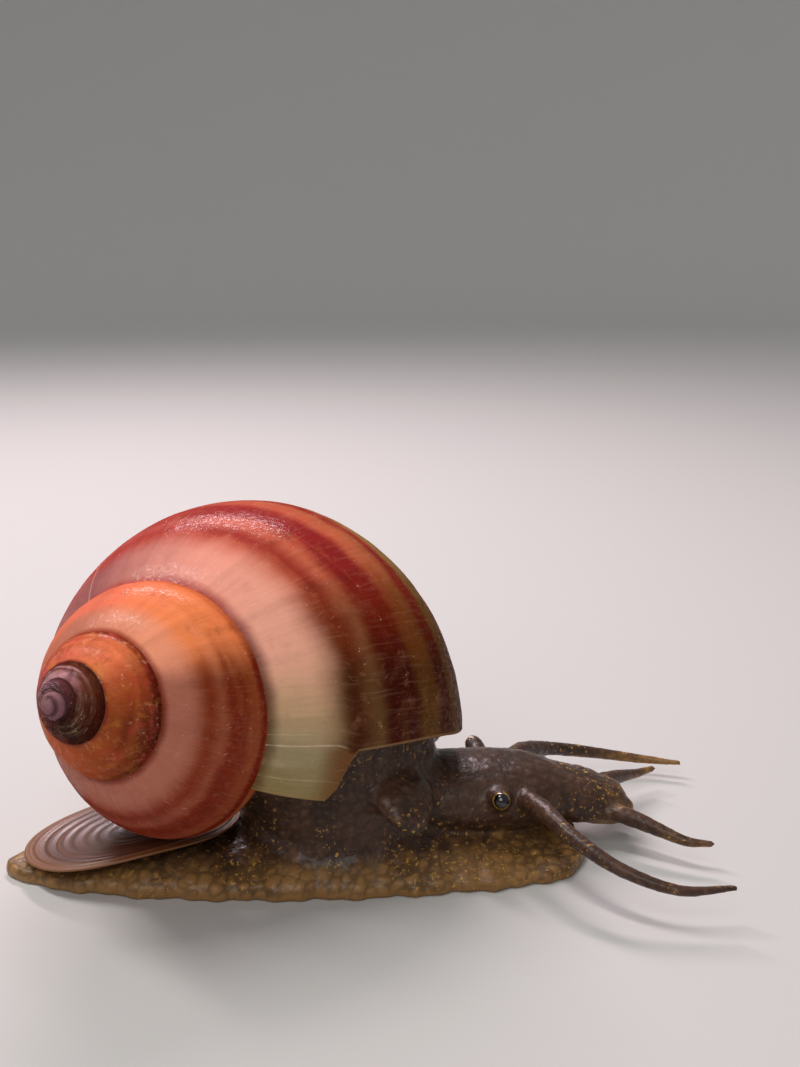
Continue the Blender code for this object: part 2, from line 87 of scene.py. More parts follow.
def lattice_noise(points: np.ndarray, cell: float, seed: int) -> np.ndarray:
    """Smooth noise from -1 to 1: random values at the corners of cubes, eased between them.

    Args:
        points: Places, with the three coordinates last.
        cell: Side of the cubes, in the unit of the points.
        seed: Chooses the random values.

    Returns:
        One value for each place.
    """
    p = points / cell
    low = np.floor(p).astype(np.int64)
    part = smooth_step(p - low)
    total = np.zeros(p.shape[:-1])
    for corner in range(8):
        bits = np.array([corner & 1, corner >> 1 & 1, corner >> 2 & 1])
        value = (scramble(low + bits, seed) >> 7 & 0xFFFF) / 32767.5 - 1
        share = np.where(bits == 1, part, 1 - part).prod(-1)
        total += share * value
    return total


def cell_noise(points: np.ndarray, cell: float, seed: int) -> np.ndarray:
    """Bumps in a net of furrows: how much farther the second of a set of scattered points is than the first.

    Args:
        points: Places, with the three coordinates last.
        cell: Side of the cubes that hold one scattered point each, in the unit of the points.
        seed: Chooses the scattered points.

    Returns:
        One value for each place, 0 in a furrow and about 1 at the middle of a bump.
    """
    p = points / cell
    low = np.floor(p).astype(np.int64)
    first = np.full(p.shape[:-1], 9.0)
    second = first.copy()
    for step in np.ndindex(3, 3, 3):
        at = low + np.array(step) - 1
        mixed = scramble(at, seed)
        shift = np.stack([mixed >> 3 & 0xFF, mixed >> 11 & 0xFF, mixed >> 19 & 0xFF], -1) / 255
        gap = np.linalg.norm(at + 0.1 + 0.8 * shift - p, axis=-1)
        second = np.minimum(second, np.maximum(first, gap))
        first = np.minimum(first, gap)
    return np.clip((second - first) * 1.6, 0, 1)


def path_through(points: Sequence[Point], count: int) -> np.ndarray:
    """Smooth path through a few points by the Catmull-Rom rule.

    Args:
        points: Places in millimetres.
        count: How many samples to take along it.

    Returns:
        The samples, in millimetres.
    """
    p = np.asarray(points, float)
    p = np.vstack([2 * p[0] - p[1], p, 2 * p[-1] - p[-2]])
    spans = len(p) - 3
    t = np.linspace(0, spans, count)
    i = np.minimum(t.astype(int), spans - 1)
    f = (t - i)[:, None]
    a, b, c, d = p[i], p[i + 1], p[i + 2], p[i + 3]
    square, cube = 2 * a - 5 * b + 4 * c - d, 3 * b - a - 3 * c + d
    return 0.5 * (2 * b + (c - a) * f + square * f ** 2 + cube * f ** 3)


def eased_sizes(values: Sequence[float] | Sequence[tuple[float, float]], count: int) -> np.ndarray:
    """Half widths and half heights given at a few places, spread over a number of samples.

    Args:
        values: Radii, or pairs of half width and half height.
        count: How many samples to take.

    Returns:
        Array of pairs.
    """
    sizes = np.asarray(values, float)
    if sizes.ndim == 1:
        sizes = np.stack([sizes, sizes], -1)
    return path_through(np.column_stack([sizes, 0 * sizes[:, 0]]), count)[:, :2]


def new_piece(name: str, points: np.ndarray, faces: Sequence[Sequence[int]] | np.ndarray) -> Piece:
    """Makes a smooth-shaded mesh object at the origin, with its place in its mesh.

    Args:
        name: Name of the piece.
        points: Vertices in millimetres, in the part's frame.
        faces: Rows of vertex numbers.

    Returns:
        The new object.
    """
    rows = faces.tolist() if isinstance(faces, np.ndarray) else faces
    mesh = bpy.data.meshes.new(name)
    mesh.from_pydata((points * MM).tolist(), [], rows)
    mesh.update()
    mesh.shade_smooth()
    piece = bpy.data.objects.new(name, mesh)
    bpy.context.scene.collection.objects.link(piece)
    return piece


def tube_faces(rings: int, around: int) -> list[list[int]]:
    """Faces of a closed tube: quads between neighbouring rings, and a fan over each end.

    Args:
        rings: How many rings the tube has.
        around: How many points each ring has; the two poles follow the last ring.

    Returns:
        Quads and triangles as lists of vertex numbers, facing outward where rings run right-handed.
    """
    i = np.arange(rings - 1)[:, None] * around
    j = np.arange(around)[None]
    k = (j + 1) % around
    quads = np.stack([i + j, i + k, i + around + k, i + around + j], -1).reshape(-1, 4)
    first, last = rings * around, rings * around + 1
    start, end = np.arange(around), (rings - 1) * around + np.arange(around)
    near = np.stack([np.full(around, first), np.roll(start, -1), start], -1)
    far = np.stack([np.full(around, last), end, np.roll(end, -1)], -1)
    return quads.tolist() + near.tolist() + far.tolist()


def set_values(piece: Piece, name: str, values: np.ndarray) -> None:
    """Stores a number or a vector at each vertex, for the materials to read.

    Args:
        piece: The mesh object.
        name: Name of the attribute.
        values: One number or one row of three for each vertex.
    """
    kind, field = ("FLOAT_VECTOR", "vector") if values.ndim == 2 else ("FLOAT", "value")
    layer = piece.data.attributes.new(name, kind, "POINT")
    layer.data.foreach_set(field, values.astype(np.float32).ravel())


@dataclass(frozen=True)
class ShellForm:
    """The shell's coiled surface: a section of four quarter ovals that turns about an axis and grows."""

    apex: Point = (-23.8, -18.3, 25.3)
    azimuth: float = -126.74
    rise: float = 16.13
    lip_turn: float = -177.95
    top: tuple[float, float] = (4.46, -12.86)
    widest: tuple[float, float] = (23.02, -33.92)
    lowest: tuple[float, float] = (11.08, -45.50)
    inner: tuple[float, float] = (0.92, -26.51)
    shoulder_power: float = 1.68
    ease: float = 0.12
    growth_r: float = 0.09674
    growth_z: float = 0.11757
    fade_start: float = 1.3
    fade_length: float = 1.2
    lip_sweep: float = 0.245
    new_growth: float = 0.27
    new_growth_edge: float = 0.64
    new_growth_blend: float = 0.09
    suture: float = 1.05

    def origin(self) -> np.ndarray:
        """The apex in the part's frame, in millimetres."""
        return np.array(self.apex) + SHIFT

    def directions(self) -> np.ndarray:
        """Rows: the axis from base to apex, a level direction square to it, and the one square to both."""
        azimuth, rise = math.radians(self.azimuth), math.radians(self.rise)
        ahead, aside, upward = math.cos(azimuth), math.sin(azimuth), math.sin(rise)
        axis = np.array([math.cos(rise) * ahead, math.cos(rise) * aside, upward])
        level = np.cross(axis, (0, 0, 1))
        level /= np.linalg.norm(level)
        return np.stack([axis, level, np.cross(level, axis)])

    def quarters(self, v: np.ndarray, inset_r: np.ndarray,
                 inset_z: np.ndarray) -> tuple[np.ndarray, np.ndarray]:
        """Section at the lip: cosine and sine of v carry a point round four quarter ovals.

        Args:
            v: Section angle, 0 at the widest point and a quarter turn at the top.
            inset_r: Inset towards the middle across the axis.
            inset_z: Inset towards the middle along the axis.

        Returns:
            Distance from the axis, and distance along it from the apex.
        """
        v = np.mod(v + np.pi, TAU) - np.pi
        c, s = np.cos(v), np.sin(v)
        bend = np.where((c >= 0) & (s >= 0), 2 / self.shoulder_power, 1.0)
        across, along = np.abs(c) ** bend, np.abs(s) ** bend
        wide = self.widest[0] - inset_r
        inner = np.maximum(self.inner[0] + inset_r, 0.25 * self.inner[0])
        high, low = self.top[1] - inset_z, self.lowest[1] + inset_z
        r_mid = np.where(s >= 0, self.top[0], self.lowest[0])
        z_mid = np.where(c >= 0, self.widest[1], self.inner[1])
        r = r_mid + np.where(c >= 0, wide - r_mid, inner - r_mid) * across
        z = z_mid + np.where(s >= 0, high - z_mid, low - z_mid) * along
        return r, z

    def section(self, growth: np.ndarray, v: np.ndarray,
                inset: np.ndarray | float) -> tuple[np.ndarray, np.ndarray]:
        """Section at a growth angle: three neighbouring quarters averaged, times e to the growth.

        Args:
            growth: Growth angle, 0 where the lip is widest and less towards the apex.
            v: Section angle.
            inset: Depth below the outer surface in millimetres.

        Returns:
            Distance from the axis, and distance along it from the apex.
        """
        grow_r, grow_z = np.exp(self.growth_r * growth), np.exp(self.growth_z * growth)
        r, z = 0.0, 0.0
        for turn, share in ((-self.ease, 0.25), (0.0, 0.5), (self.ease, 0.25)):
            ring_r, ring_z = self.quarters(v + turn, inset / grow_r, inset / grow_z)
            r, z = r + share * ring_r, z + share * ring_z
        return r * grow_r, z * grow_z

    def point(self, growth: np.ndarray, v: np.ndarray, inset: np.ndarray | float = 0.0) -> np.ndarray:
        """Surface of two parameters: the section, turned about the axis by the growth angle.

        Args:
            growth: Growth angle.
            v: Section angle.
            inset: Depth below the outer surface in millimetres.

        Returns:
            Points in millimetres.
        """
        growth, v, inset = np.broadcast_arrays(growth, v, inset)
        r, z = self.section(growth, v, inset)
        axis, level, upward = self.directions()
        turn = (math.radians(self.lip_turn) + growth)[..., None]
        radial = np.cos(turn) * level + np.sin(turn) * upward
        return self.origin() + r[..., None] * radial + z[..., None] * axis

    def fade(self, v: np.ndarray) -> np.ndarray:
        """Falls smoothly from 1 to 0 on the side of the section that is turned towards the axis."""
        return 1 - smooth_step((v - self.fade_start) / self.fade_length)

    def sweep(self, v: np.ndarray) -> np.ndarray:
        """How far the grown lip runs ahead: the square of the section angle, fading towards the axis."""
        v = np.mod(v + np.pi, TAU) - np.pi
        return self.lip_sweep * np.clip(v, 0, self.suture + 0.1) ** 2 * self.fade(v)

    def fresh(self, v: np.ndarray) -> np.ndarray:
        """How far the strip of new growth next to the suture runs beyond the grown lip."""
        v = np.mod(v + np.pi, TAU) - np.pi
        strip = smooth_step((v - self.new_growth_edge) / self.new_growth_blend)
        return self.new_growth * strip * self.fade(v)

    def lip_growth(self, v: np.ndarray) -> np.ndarray:
        """Growth angle of the lip at a section angle."""
        return self.sweep(v) + self.fresh(v)


class SectionChart:
    """Signed distance to the shell's section at growth 0, tabled over radius and height for quick reading."""

    def __init__(self, form: ShellForm, step: float = 0.25, points: int = 240, margin: float = 8.0) -> None:
        """Works out the table: for each cell the nearest of the section's points, signed by its normal.

        Args:
            form: The shell's form.
            step: Side of the table's cells in millimetres.
            points: How many points of the section are measured.
            margin: How far the table goes past the section.
        """
        self.step = step
        v = np.linspace(-np.pi, np.pi, points, endpoint=False)
        ring = np.stack(form.section(np.zeros_like(v), v, 0.0), -1)
        ahead = np.roll(ring, -1, 0) - np.roll(ring, 1, 0)
        normal = np.stack([ahead[:, 1], -ahead[:, 0]], -1)
        normal /= np.linalg.norm(normal, axis=1)[:, None]
        self.low = ring.min(0) - margin
        size = np.ceil((ring.max(0) + margin - self.low) / step).astype(int) + 1
        r = self.low[0] + step * np.arange(size[0])
        z = self.low[1] + step * np.arange(size[1])
        cell = np.stack(np.meshgrid(r, z, indexing="ij"), -1)
        gap = cell[:, :, None] - ring[None, None]
        far = np.linalg.norm(gap, axis=-1)
        near = far.argmin(-1)
        out = np.take_along_axis((gap * normal).sum(-1), near[..., None], -1)[..., 0]
        self.distance = np.where(out < 0, -1, 1) * far.min(-1)
        self.angle = v[near]

    def read(self, r: np.ndarray, z: np.ndarray) -> tuple[np.ndarray, np.ndarray]:
        """Reads the table between its cells.

        Args:
            r: Distance from the axis, brought to growth 0.
            z: Distance along the axis, brought to growth 0.

        Returns:
            Signed distance, below 0 inside, and the section angle of the nearest point.
        """
        limit = np.array(self.distance.shape) - 1.001
        a = np.clip((r - self.low[0]) / self.step, 0, limit[0])
        b = np.clip((z - self.low[1]) / self.step, 0, limit[1])
        i, j = a.astype(int), b.astype(int)
        f, g = a - i, b - j
        d = self.distance
        low = d[i, j] * (1 - f) + d[i + 1, j] * f
        high = d[i, j + 1] * (1 - f) + d[i + 1, j + 1] * f
        return low * (1 - g) + high * g, self.angle[i, j]


@dataclass(frozen=True)
class Coiled:
    """Where some places lie on the shell's coil, for one turn of it."""

    growth: np.ndarray
    distance: np.ndarray
    angle: np.ndarray
    radius: np.ndarray


class Maker:
    """Short ways to add shader nodes and join them."""

    def __init__(self, name: str) -> None:
        """Starts a material with only its surface shader and output.

        Args:
            name: Name of the material.
        """
        self.material = bpy.data.materials.new(name)
        self.material.use_nodes = True
        self.tree = self.material.node_tree
        self.shader = self.tree.nodes["Principled BSDF"]

    def dress(self, **values: Value) -> None:
        """Joins values to the shader's own sockets, or sets them; an underscore stands for a space."""
        for name, value in values.items():
            self.join(value, self.shader.inputs[name.replace("_", " ")])

    def node(self, kind: str, **settings: object) -> bpy.types.Node:
        """Adds a node and sets its properties."""
        made = self.tree.nodes.new(kind)
        for name, value in settings.items():
            setattr(made, name, value)
        return made

    def join(self, value: object, socket: Socket) -> None:
        """Links a socket to another, or sets it where the value is a plain number, colour or vector."""
        if isinstance(value, Socket):
            self.tree.links.new(value, socket)
        elif isinstance(value, tuple) and len(value) == 3 and socket.type == "RGBA":
            socket.default_value = (*value, 1.0)
        else:
            socket.default_value = value

    def attribute(self, name: str, vector: bool = False) -> Socket:
        """Reads a stored attribute as a number or a vector."""
        made = self.node("ShaderNodeAttribute", attribute_name=name)
        return made.outputs["Vector" if vector else "Fac"]

    def split(self, vector: Socket) -> list[Socket]:
        """The three parts of a vector."""
        made = self.node("ShaderNodeSeparateXYZ")
        self.join(vector, made.inputs[0])
        return list(made.outputs)

    def pack(self, x: object, y: object, z: object) -> Socket:
        """A vector of three numbers."""
        made = self.node("ShaderNodeCombineXYZ")
        for value, socket in zip((x, y, z), made.inputs):
            self.join(value, socket)
        return made.outputs[0]

    def place(self) -> Socket:
        """Object coordinates in metres."""
        return self.node("ShaderNodeTexCoord").outputs["Object"]

    def math(self, operation: str, a: Value, b: Value = 0.0, clamp: bool = False) -> Socket:
        """One step of arithmetic."""
        made = self.node("ShaderNodeMath", operation=operation, use_clamp=clamp)
        self.join(a, made.inputs[0])
        self.join(b, made.inputs[1])
        return made.outputs[0]

    def plus(self, a: Value, b: Value) -> Socket:
        """Sum of two values."""
        return self.math("ADD", a, b)

    def minus(self, a: Value, b: Value) -> Socket:
        """One value less another."""
        return self.math("SUBTRACT", a, b)

    def times(self, first: Value, *others: Value) -> Value:
        """Product of the values."""
        for other in others:
            first = self.math("MULTIPLY", first, other)
        return first

    def gap(self, a: Value, b: Value) -> Socket:
        """How far apart two values are."""
        return self.math("ABSOLUTE", self.minus(a, b))

    def sway(self, value: Socket, noise: Socket, reach: float) -> Socket:
        """A value moved to and fro: the noise's offset from a half, times the reach, is added to it."""
        return self.plus(value, self.times(self.minus(noise, 0.5), reach))

    def scaled(self, vector: Socket, scale: Point) -> Socket:
        """A vector stretched along its three parts."""
        made = self.node("ShaderNodeVectorMath", operation="MULTIPLY")
        self.join(vector, made.inputs[0])
        made.inputs[1].default_value = scale
        return made.outputs[0]

    def step(self, value: Socket, low: float, high: float) -> Socket:
        """Smooth rise from 0 to 1 as the value goes from low to high, or a fall where high is less."""
        made = self.node("ShaderNodeMapRange", interpolation_type="SMOOTHSTEP", clamp=True)
        self.join(value, made.inputs["Value"])
        made.inputs["From Min"].default_value = low
        made.inputs["From Max"].default_value = high
        return made.outputs[0]

    def noise(self, vector: Socket, scale: float, detail: float = 3.0, rough: float = 0.5) -> Socket:
        """Cloudy noise from 0 to 1."""
        made = self.node("ShaderNodeTexNoise")
        self.join(vector, made.inputs["Vector"])
        for name, value in (("Scale", scale), ("Detail", detail), ("Roughness", rough)):
            made.inputs[name].default_value = value
        return made.outputs[0]

    def cells(self, vector: Socket, scale: float) -> Socket:
        """Distance from the nearest of scattered points."""
        made = self.node("ShaderNodeTexVoronoi")
        self.join(vector, made.inputs["Vector"])
        made.inputs["Scale"].default_value = scale
        return made.outputs["Distance"]

    def ramp(self, value: Socket, stops: Sequence[tuple[float, Color]], low: float, high: float) -> Socket:
        """Colours along a value, from stops given in the value's own units."""
        share = self.math("DIVIDE", self.minus(value, low), high - low, clamp=True)
        made = self.node("ShaderNodeValToRGB")
        self.join(share, made.inputs[0])
        elements = made.color_ramp.elements
        for index, (at, color) in enumerate(sorted(stops)):
            where = (at - low) / (high - low)
            element = elements[index] if index < 2 else elements.new(where)
            element.position = where
            element.color = (*linear(color), 1.0)
        return made.outputs[0]

    def mix(self, share: Value, a: Socket | Color, b: Socket | Color) -> Socket:
        """Blends two colours."""
        made = self.node("ShaderNodeMix", data_type="RGBA", clamp_factor=True)
        self.join(share, made.inputs["Factor"])
        self.join(a, made.inputs[6])
        self.join(b, made.inputs[7])
        return made.outputs[2]

    def paint(self, color: Socket, tint: Socket | Color, *shares: Value) -> Socket:
        """Lays a tint over a colour, as strongly as the product of the shares."""
        return self.mix(self.times(*shares), color, tint)

    def bump(self, height: Socket, strength: float, distance: float, after: Socket | None = None) -> Socket:
        """Bends the surface's shading by a height in units of the distance, in metres."""
        made = self.node("ShaderNodeBump")
        self.join(height, made.inputs["Height"])
        made.inputs["Strength"].default_value = strength
        made.inputs["Distance"].default_value = distance
        if after is not None:
            self.join(after, made.inputs["Normal"])
        return made.outputs[0]


def linear(color: Color) -> Color:
    """Turns a colour given as 0 to 255 on screen into linear light."""
    return tuple((c / 255 / 12.92) if c < 10.3 else ((c / 255 + 0.055) / 1.055) ** 2.4 for c in color)


class Hue(Enum):
    """The shell's colours, 0 to 255 as on a screen."""

    MAUVE = (150, 105, 115)
    PLUM = (90, 50, 50)
    GARNET = (120, 55, 65)
    SOOT = (30, 10, 5)
    UMBER = (60, 25, 15)
    PALE_PINK = (230, 165, 170)
    RUSSET = (130, 70, 65)
    BRICK = (180, 80, 75)
    TERRACOTTA = (150, 60, 45)
    CORAL = (245, 130, 85)
    ORANGE = (250, 140, 85)
    APRICOT = (220, 110, 85)
    COPPER = (190, 90, 45)
    CARAMEL = (160, 95, 55)
    CHESTNUT = (140, 65, 30)
    RUST = (105, 40, 15)
    ROSE = (180, 110, 90)
    DUSKY_ROSE = (145, 85, 85)
    SALMON = (245, 155, 120)
    PEACH = (240, 160, 140)
    CREAM = (250, 180, 155)
    SAND = (205, 170, 130)
    KHAKI = (160, 145, 110)
    OLIVE = (135, 115, 60)
    MOSS = (100, 70, 35)
    BRONZE = (90, 55, 15)
    CARMINE = (170, 65, 60)
    CLAY = (200, 95, 65)
    CRIMSON = (145, 35, 35)
    OXBLOOD = (120, 30, 10)
    BLACK_CHERRY = (65, 15, 5)


@dataclass(frozen=True)
class Tone:
    """A colour that changes as the shell grows: growth angles, and the hue reached at each."""

    stops: tuple[tuple[float, Hue], ...]

    def read(self, make: Maker, growth: Socket) -> Socket:
        """The colour at a growth angle."""
        return make.ramp(growth, [(at, hue.value) for at, hue in self.stops], FIRST_GROWTH, LAST_GROWTH)


@dataclass(frozen=True)
class Band:
    """A spiral band: a range of the section angle with soft edges, and how strong it is at five ages."""

    centre: float
    half: float
    soft: float
    strengths: tuple[float, float, float, float, float]

    def mask(self, make: Maker, v: Socket, ages: Sequence[Socket]) -> Socket:
        """Strength of the band from 0 to 1: its profile over the section angle, times that of the age.

        Args:
            make: The material in the making.
            v: Section angle.
            ages: How far the shell is into each age after the first, each 0 to 1.

        Returns:
            The strength.
        """
        profile = make.step(make.gap(v, self.centre), self.half + self.soft, self.half - self.soft)
        strength = self.strengths[0]
        for age, before, after in zip(ages, self.strengths, self.strengths[1:]):
            strength = make.plus(strength, make.times(age, after - before))
        return make.math("MULTIPLY", profile, strength, clamp=True)


@dataclass(frozen=True)
class Mark:
    """A thin pale line where growth paused: its growth line, half width and lowest section angle."""

    line: float
    half: float
    above: float
    strength: float
    onset: float = 0.1

    def mask(self, make: Maker, line: Socket, v: Socket) -> Socket:
        """Strength of the mark from 0 to 1, at a growth line and a section angle."""
        across = make.step(make.gap(line, self.line), self.half, 0.3 * self.half)
        return make.times(across, make.step(v, self.above, self.above + self.onset), self.strength)


class Grain(Enum):
    """The noises that the shell's washes follow."""

    THIN_STREAKS = 1
    BROAD_STREAKS = 2
    CLOUDS = 3
    BLOTS = 4
    PATCHES = 5


class Where(Enum):
    """Where a wash is stronger than elsewhere."""

    NOWHERE = 0
    WORN_WHORL = 1
    WORN_OR_LOW = 2


@dataclass(frozen=True)
class Wash:
    """A tint that comes in as a noise goes from low to high: a share everywhere, an extra share somewhere."""

    grain: Grain
    low: float
    high: float
    tint: Color
    share: float
    extra: float = 0.0
    where: Where = Where.NOWHERE


@dataclass(frozen=True)
class ShellPlace:
    """What the shell's materials read at a place: its coil values, its wall value, its place and its wear."""

    growth: Socket
    v: Socket
    line: Socket
    wall: Socket
    place: Socket
    tip: Socket
    old: Socket

    def along(self, make: Maker) -> Socket:
        """Coordinates that change quickly with the growth line and hardly along it."""
        return make.pack(self.line, make.times(self.v, 0.08), 0.0)

    def streaks(self, make: Maker) -> Socket:
        """Thin streaks along the growth lines."""
        return make.noise(self.along(make), 60.0, 4.0, 0.62)

    def flakes(self, make: Maker) -> Socket:
        """Noise drawn out across the whorl, for the flaked coat of the tip."""
        slant = make.plus(make.times(self.growth, 0.55), make.times(self.v, 0.6))
        steep = make.minus(make.times(self.v, 2.6), make.times(self.growth, 0.25))
        return make.noise(make.pack(slant, steep, 0.0), 4.0, 6.0, 0.75)


@dataclass(frozen=True)
class ShellFinish:
    """Semi-gloss shell: spiral bands over a ground whose colours change with growth, some of them painted
    light and shade, and wear over both.

    Tones are by growth angle, bands and marks as their classes say, and tints in linear light.
    """

    roughness: float = 0.34
    # Last whorl: the flank, base and stripe tones darken from -0.9 towards the lip, partly the shell's own
    # colour and partly painted shade.
    # Penultimate whorl: the salmon and orange up to -6.9 are partly painted light, and the chestnut and
    # oxblood after -6.7 partly painted shade, over its real change of colour at -6.85.
    # The pale pink at -20.3 is partly the tip's pale mauve and partly a painted highlight.
    # Third whorl: the coral at -13.5 is partly painted light; the chestnut, rust and black cherry at -12.3
    # and the base's rust at -13.5 are partly painted shade.
    shoulder: Tone = Tone((
        (-29, Hue.MAUVE), (-25, Hue.PLUM), (-23.6, Hue.UMBER), (-20.3, Hue.PALE_PINK), (-19.3, Hue.RUSSET),
        (-17.6, Hue.SOOT), (-17, Hue.SOOT), (-15.2, Hue.BRICK), (-13.5, Hue.CORAL), (-13.1, Hue.COPPER),
        (-12.3, Hue.CHESTNUT), (-10.5, Hue.COPPER), (-8.4, Hue.ROSE), (-7.3, Hue.SALMON), (-6.9, Hue.SALMON),
        (-6.6, Hue.ROSE), (-4.5, Hue.ROSE), (-2.3, Hue.DUSKY_ROSE), (-1.2, Hue.PEACH), (-0.5, Hue.CREAM),
        (-0.05, Hue.SAND), (0.15, Hue.KHAKI), (0.6, Hue.OLIVE)))
    flank: Tone = Tone((
        (-29, Hue.MAUVE), (-26, Hue.GARNET), (-24.2, Hue.SOOT), (-21.8, Hue.RUST), (-19, Hue.RUST),
        (-17.6, Hue.SOOT), (-15.2, Hue.TERRACOTTA), (-13.5, Hue.CORAL), (-13.1, Hue.COPPER),
        (-12.3, Hue.RUST), (-10.5, Hue.COPPER), (-8.2, Hue.APRICOT), (-7.3, Hue.ORANGE), (-6.9, Hue.ORANGE),
        (-6.65, Hue.CHESTNUT), (-4.5, Hue.TERRACOTTA), (-2, Hue.CARMINE), (-0.9, Hue.CLAY),
        (-0.65, Hue.CHESTNUT), (-0.25, Hue.BRONZE), (0.6, Hue.MOSS)))
    base: Tone = Tone((
        (-29, Hue.GARNET), (-17.3, Hue.UMBER), (-13.5, Hue.RUST), (-7, Hue.COPPER), (-4.5, Hue.CARAMEL),
        (-1.9, Hue.CARAMEL), (-0.9, Hue.OLIVE), (-0.4, Hue.BRONZE)))
    stripe: Tone = Tone((
        (-29, Hue.PLUM), (-17.3, Hue.BLACK_CHERRY), (-13.5, Hue.OXBLOOD), (-12.3, Hue.BLACK_CHERRY),
        (-8.4, Hue.COPPER), (-7, Hue.COPPER), (-6.7, Hue.OXBLOOD), (-4.5, Hue.OXBLOOD), (-2, Hue.CRIMSON),
        (-0.9, Hue.CRIMSON), (-0.6, Hue.OXBLOOD), (-0.3, Hue.BLACK_CHERRY)))
    # The suture tone, with the band at 1.08 and the suture band, darkens the whorl along the suture: partly a
    # real blush, partly painted shade where the whorls meet.
    suture: Tone = Tone((
        (-17.3, Hue.UMBER), (-8, Hue.TERRACOTTA), (-7, Hue.TERRACOTTA), (-6.2, Hue.RUST), (-2, Hue.BRICK),
        (-1.2, Hue.BRICK), (-0.5, Hue.RUSSET), (0.1, Hue.MOSS)))
    ages: tuple[tuple[float, float], ...] = ((-11.8, -9.6), (-6.95, -6.68), (-4.6, -2.7), (-2.25, -1.55))
    bands: tuple[Band, ...] = (
        # Dark along the suture: partly a real blush, partly painted shade where the whorls meet.
        Band(1.08, 0.05, 0.05, (0.9, 0.85, 0.95, 0.7, 0.95)),
        Band(0.635, 0.05, 0.06, (0.05, 0.05, 0.5, 0.25, 0.8)),
        Band(0.395, 0.1, 0.045, (0.3, 0.22, 0.75, 0.25, 1.0)),
        Band(0.06, 0.07, 0.05, (0.95, 0.5, 1.0, 0.25, 0.95)),
        # Widens the dark lowest band up the third and older whorls: painted shade.
        Band(0.14, 0.14, 0.08, (0.9, 0.1, 0.0, 0.0, 0.0)),
        Band(-0.24, 0.06, 0.03, (0.6, 0.3, 0.6, 0.3, 0.7)),
        Band(-0.52, 0.08, 0.04, (0.4, 0.3, 0.6, 0.3, 0.75)),
        Band(-0.88, 0.07, 0.04, (0.2, 0.2, 0.4, 0.2, 0.5)))
    suture_band: Band = Band(1.09, 0.065, 0.045, (0.8, 1.0, 0.95, 0.85, 0.75))
    # Pale band at section angle 0.55, strongest on the older whorls: a painted highlight.
    painted_highlight: Band = Band(0.55, 0.06, 0.06, (0.75, 0.15, 0.2, 0.1, 0.06))
    marks: tuple[Mark, ...] = (
        Mark(0.0, 0.0055, 0.66, 1.0), Mark(-0.055, 0.004, 0.8, 0.5), Mark(0.17, 0.005, 0.66, 0.5),
        Mark(0.09, 0.03, 0.84, 0.25), Mark(-2.36, 0.01, 0.5, 0.4))
    washes: tuple[Wash, ...] = (
        Wash(Grain.PATCHES, 0.5, 0.66, (0.5, 0.05, 0.035), 0.0, 0.45, Where.WORN_WHORL),
        Wash(Grain.PATCHES, 0.48, 0.34, (0.6, 0.22, 0.04), 0.0, 0.35, Where.WORN_WHORL),
        Wash(Grain.BROAD_STREAKS, 0.45, 0.75, (0.07, 0.018, 0.008), 0.16),
        Wash(Grain.THIN_STREAKS, 0.5, 0.75, (0.8, 0.5, 0.36), 0.08),
        Wash(Grain.THIN_STREAKS, 0.5, 0.28, (0.03, 0.008, 0.004), 0.08),
        Wash(Grain.CLOUDS, 0.5, 0.7, (0.7, 0.3, 0.14), 0.09),
        Wash(Grain.CLOUDS, 0.46, 0.3, (0.09, 0.016, 0.006), 0.1, 0.2, Where.WORN_OR_LOW),
        Wash(Grain.BLOTS, 0.56, 0.74, (0.86, 0.42, 0.2), 0.12, 0.33, Where.WORN_WHORL),
        Wash(Grain.BLOTS, 0.4, 0.26, (0.2, 0.03, 0.012), 0.12, 0.33, Where.WORN_WHORL))
    speck_tint: Color = (0.75, 0.5, 0.38)
    scratch_tint: Color = (0.85, 0.55, 0.48)
    mark_tint: Color = (0.62, 0.47, 0.33)
    edge_tint: Color = linear((122, 78, 42))
    patch_tint: Color = linear((112, 46, 66))
    # Grey-brown chips, and pale lilac chips that are partly a painted highlight.
    chip_and_highlight_tints: tuple[Color, Color] = (linear((152, 130, 102)), linear((206, 172, 180)))
    crack_tint: Color = (0.02, 0.006, 0.004)
    rim_tint: Color = linear((164, 128, 88))
    # Partly the inner wall's own brown, partly painted shade in the mouth.
    mouth_shade_tint: Color = (0.12, 0.04, 0.02)

    def banded(self, make: Maker, at: ShellPlace) -> Socket:
        """Ground and bands: pale above the shoulder, warm on the flank, olive below, crossed by dark bands,
        with a painted highlight along the flank.

        Args:
            make: The material in the making.
            at: What it reads.

        Returns:
            The colour.
        """
        flat = make.pack(at.growth, at.v, 0.0)
        drift = make.noise(make.scaled(flat, (3.0, 7.5, 1.0)), 1.0, 3.0)
        waver = make.noise(make.scaled(flat, (6.0, 2.4, 1.0)), 1.0, 4.0)
        growth, v = make.sway(at.growth, drift, 0.16), make.sway(at.v, waver, 0.08)
        ages = [make.step(growth, low, high) for low, high in self.ages]
        pale, stripe = self.shoulder.read(make, growth), self.stripe.read(make, growth)
        color = make.mix(make.step(v, 0.64, 0.85), self.flank.read(make, growth), pale)
        color = make.paint(color, self.base.read(make, growth), make.step(v, 0.34, -0.2))
        # Painted highlight: the pale shoulder tone laid along the band at 0.55.
        color = make.paint(color, pale, self.painted_highlight.mask(make, v, ages))
        streaks = make.pack(make.times(growth, 1.6), make.times(v, 7.0), 2.0)
        depth = make.step(make.noise(streaks, 1.0, 5.0, 0.6), 0.2, 0.52)
        for band in self.bands:
            color = make.paint(color, stripe, band.mask(make, v, ages), depth)
        # Dark along the suture: partly a real blush, partly painted shade where the whorls meet.
        return make.paint(color, self.suture.read(make, growth), self.suture_band.mask(make, at.v, ages))

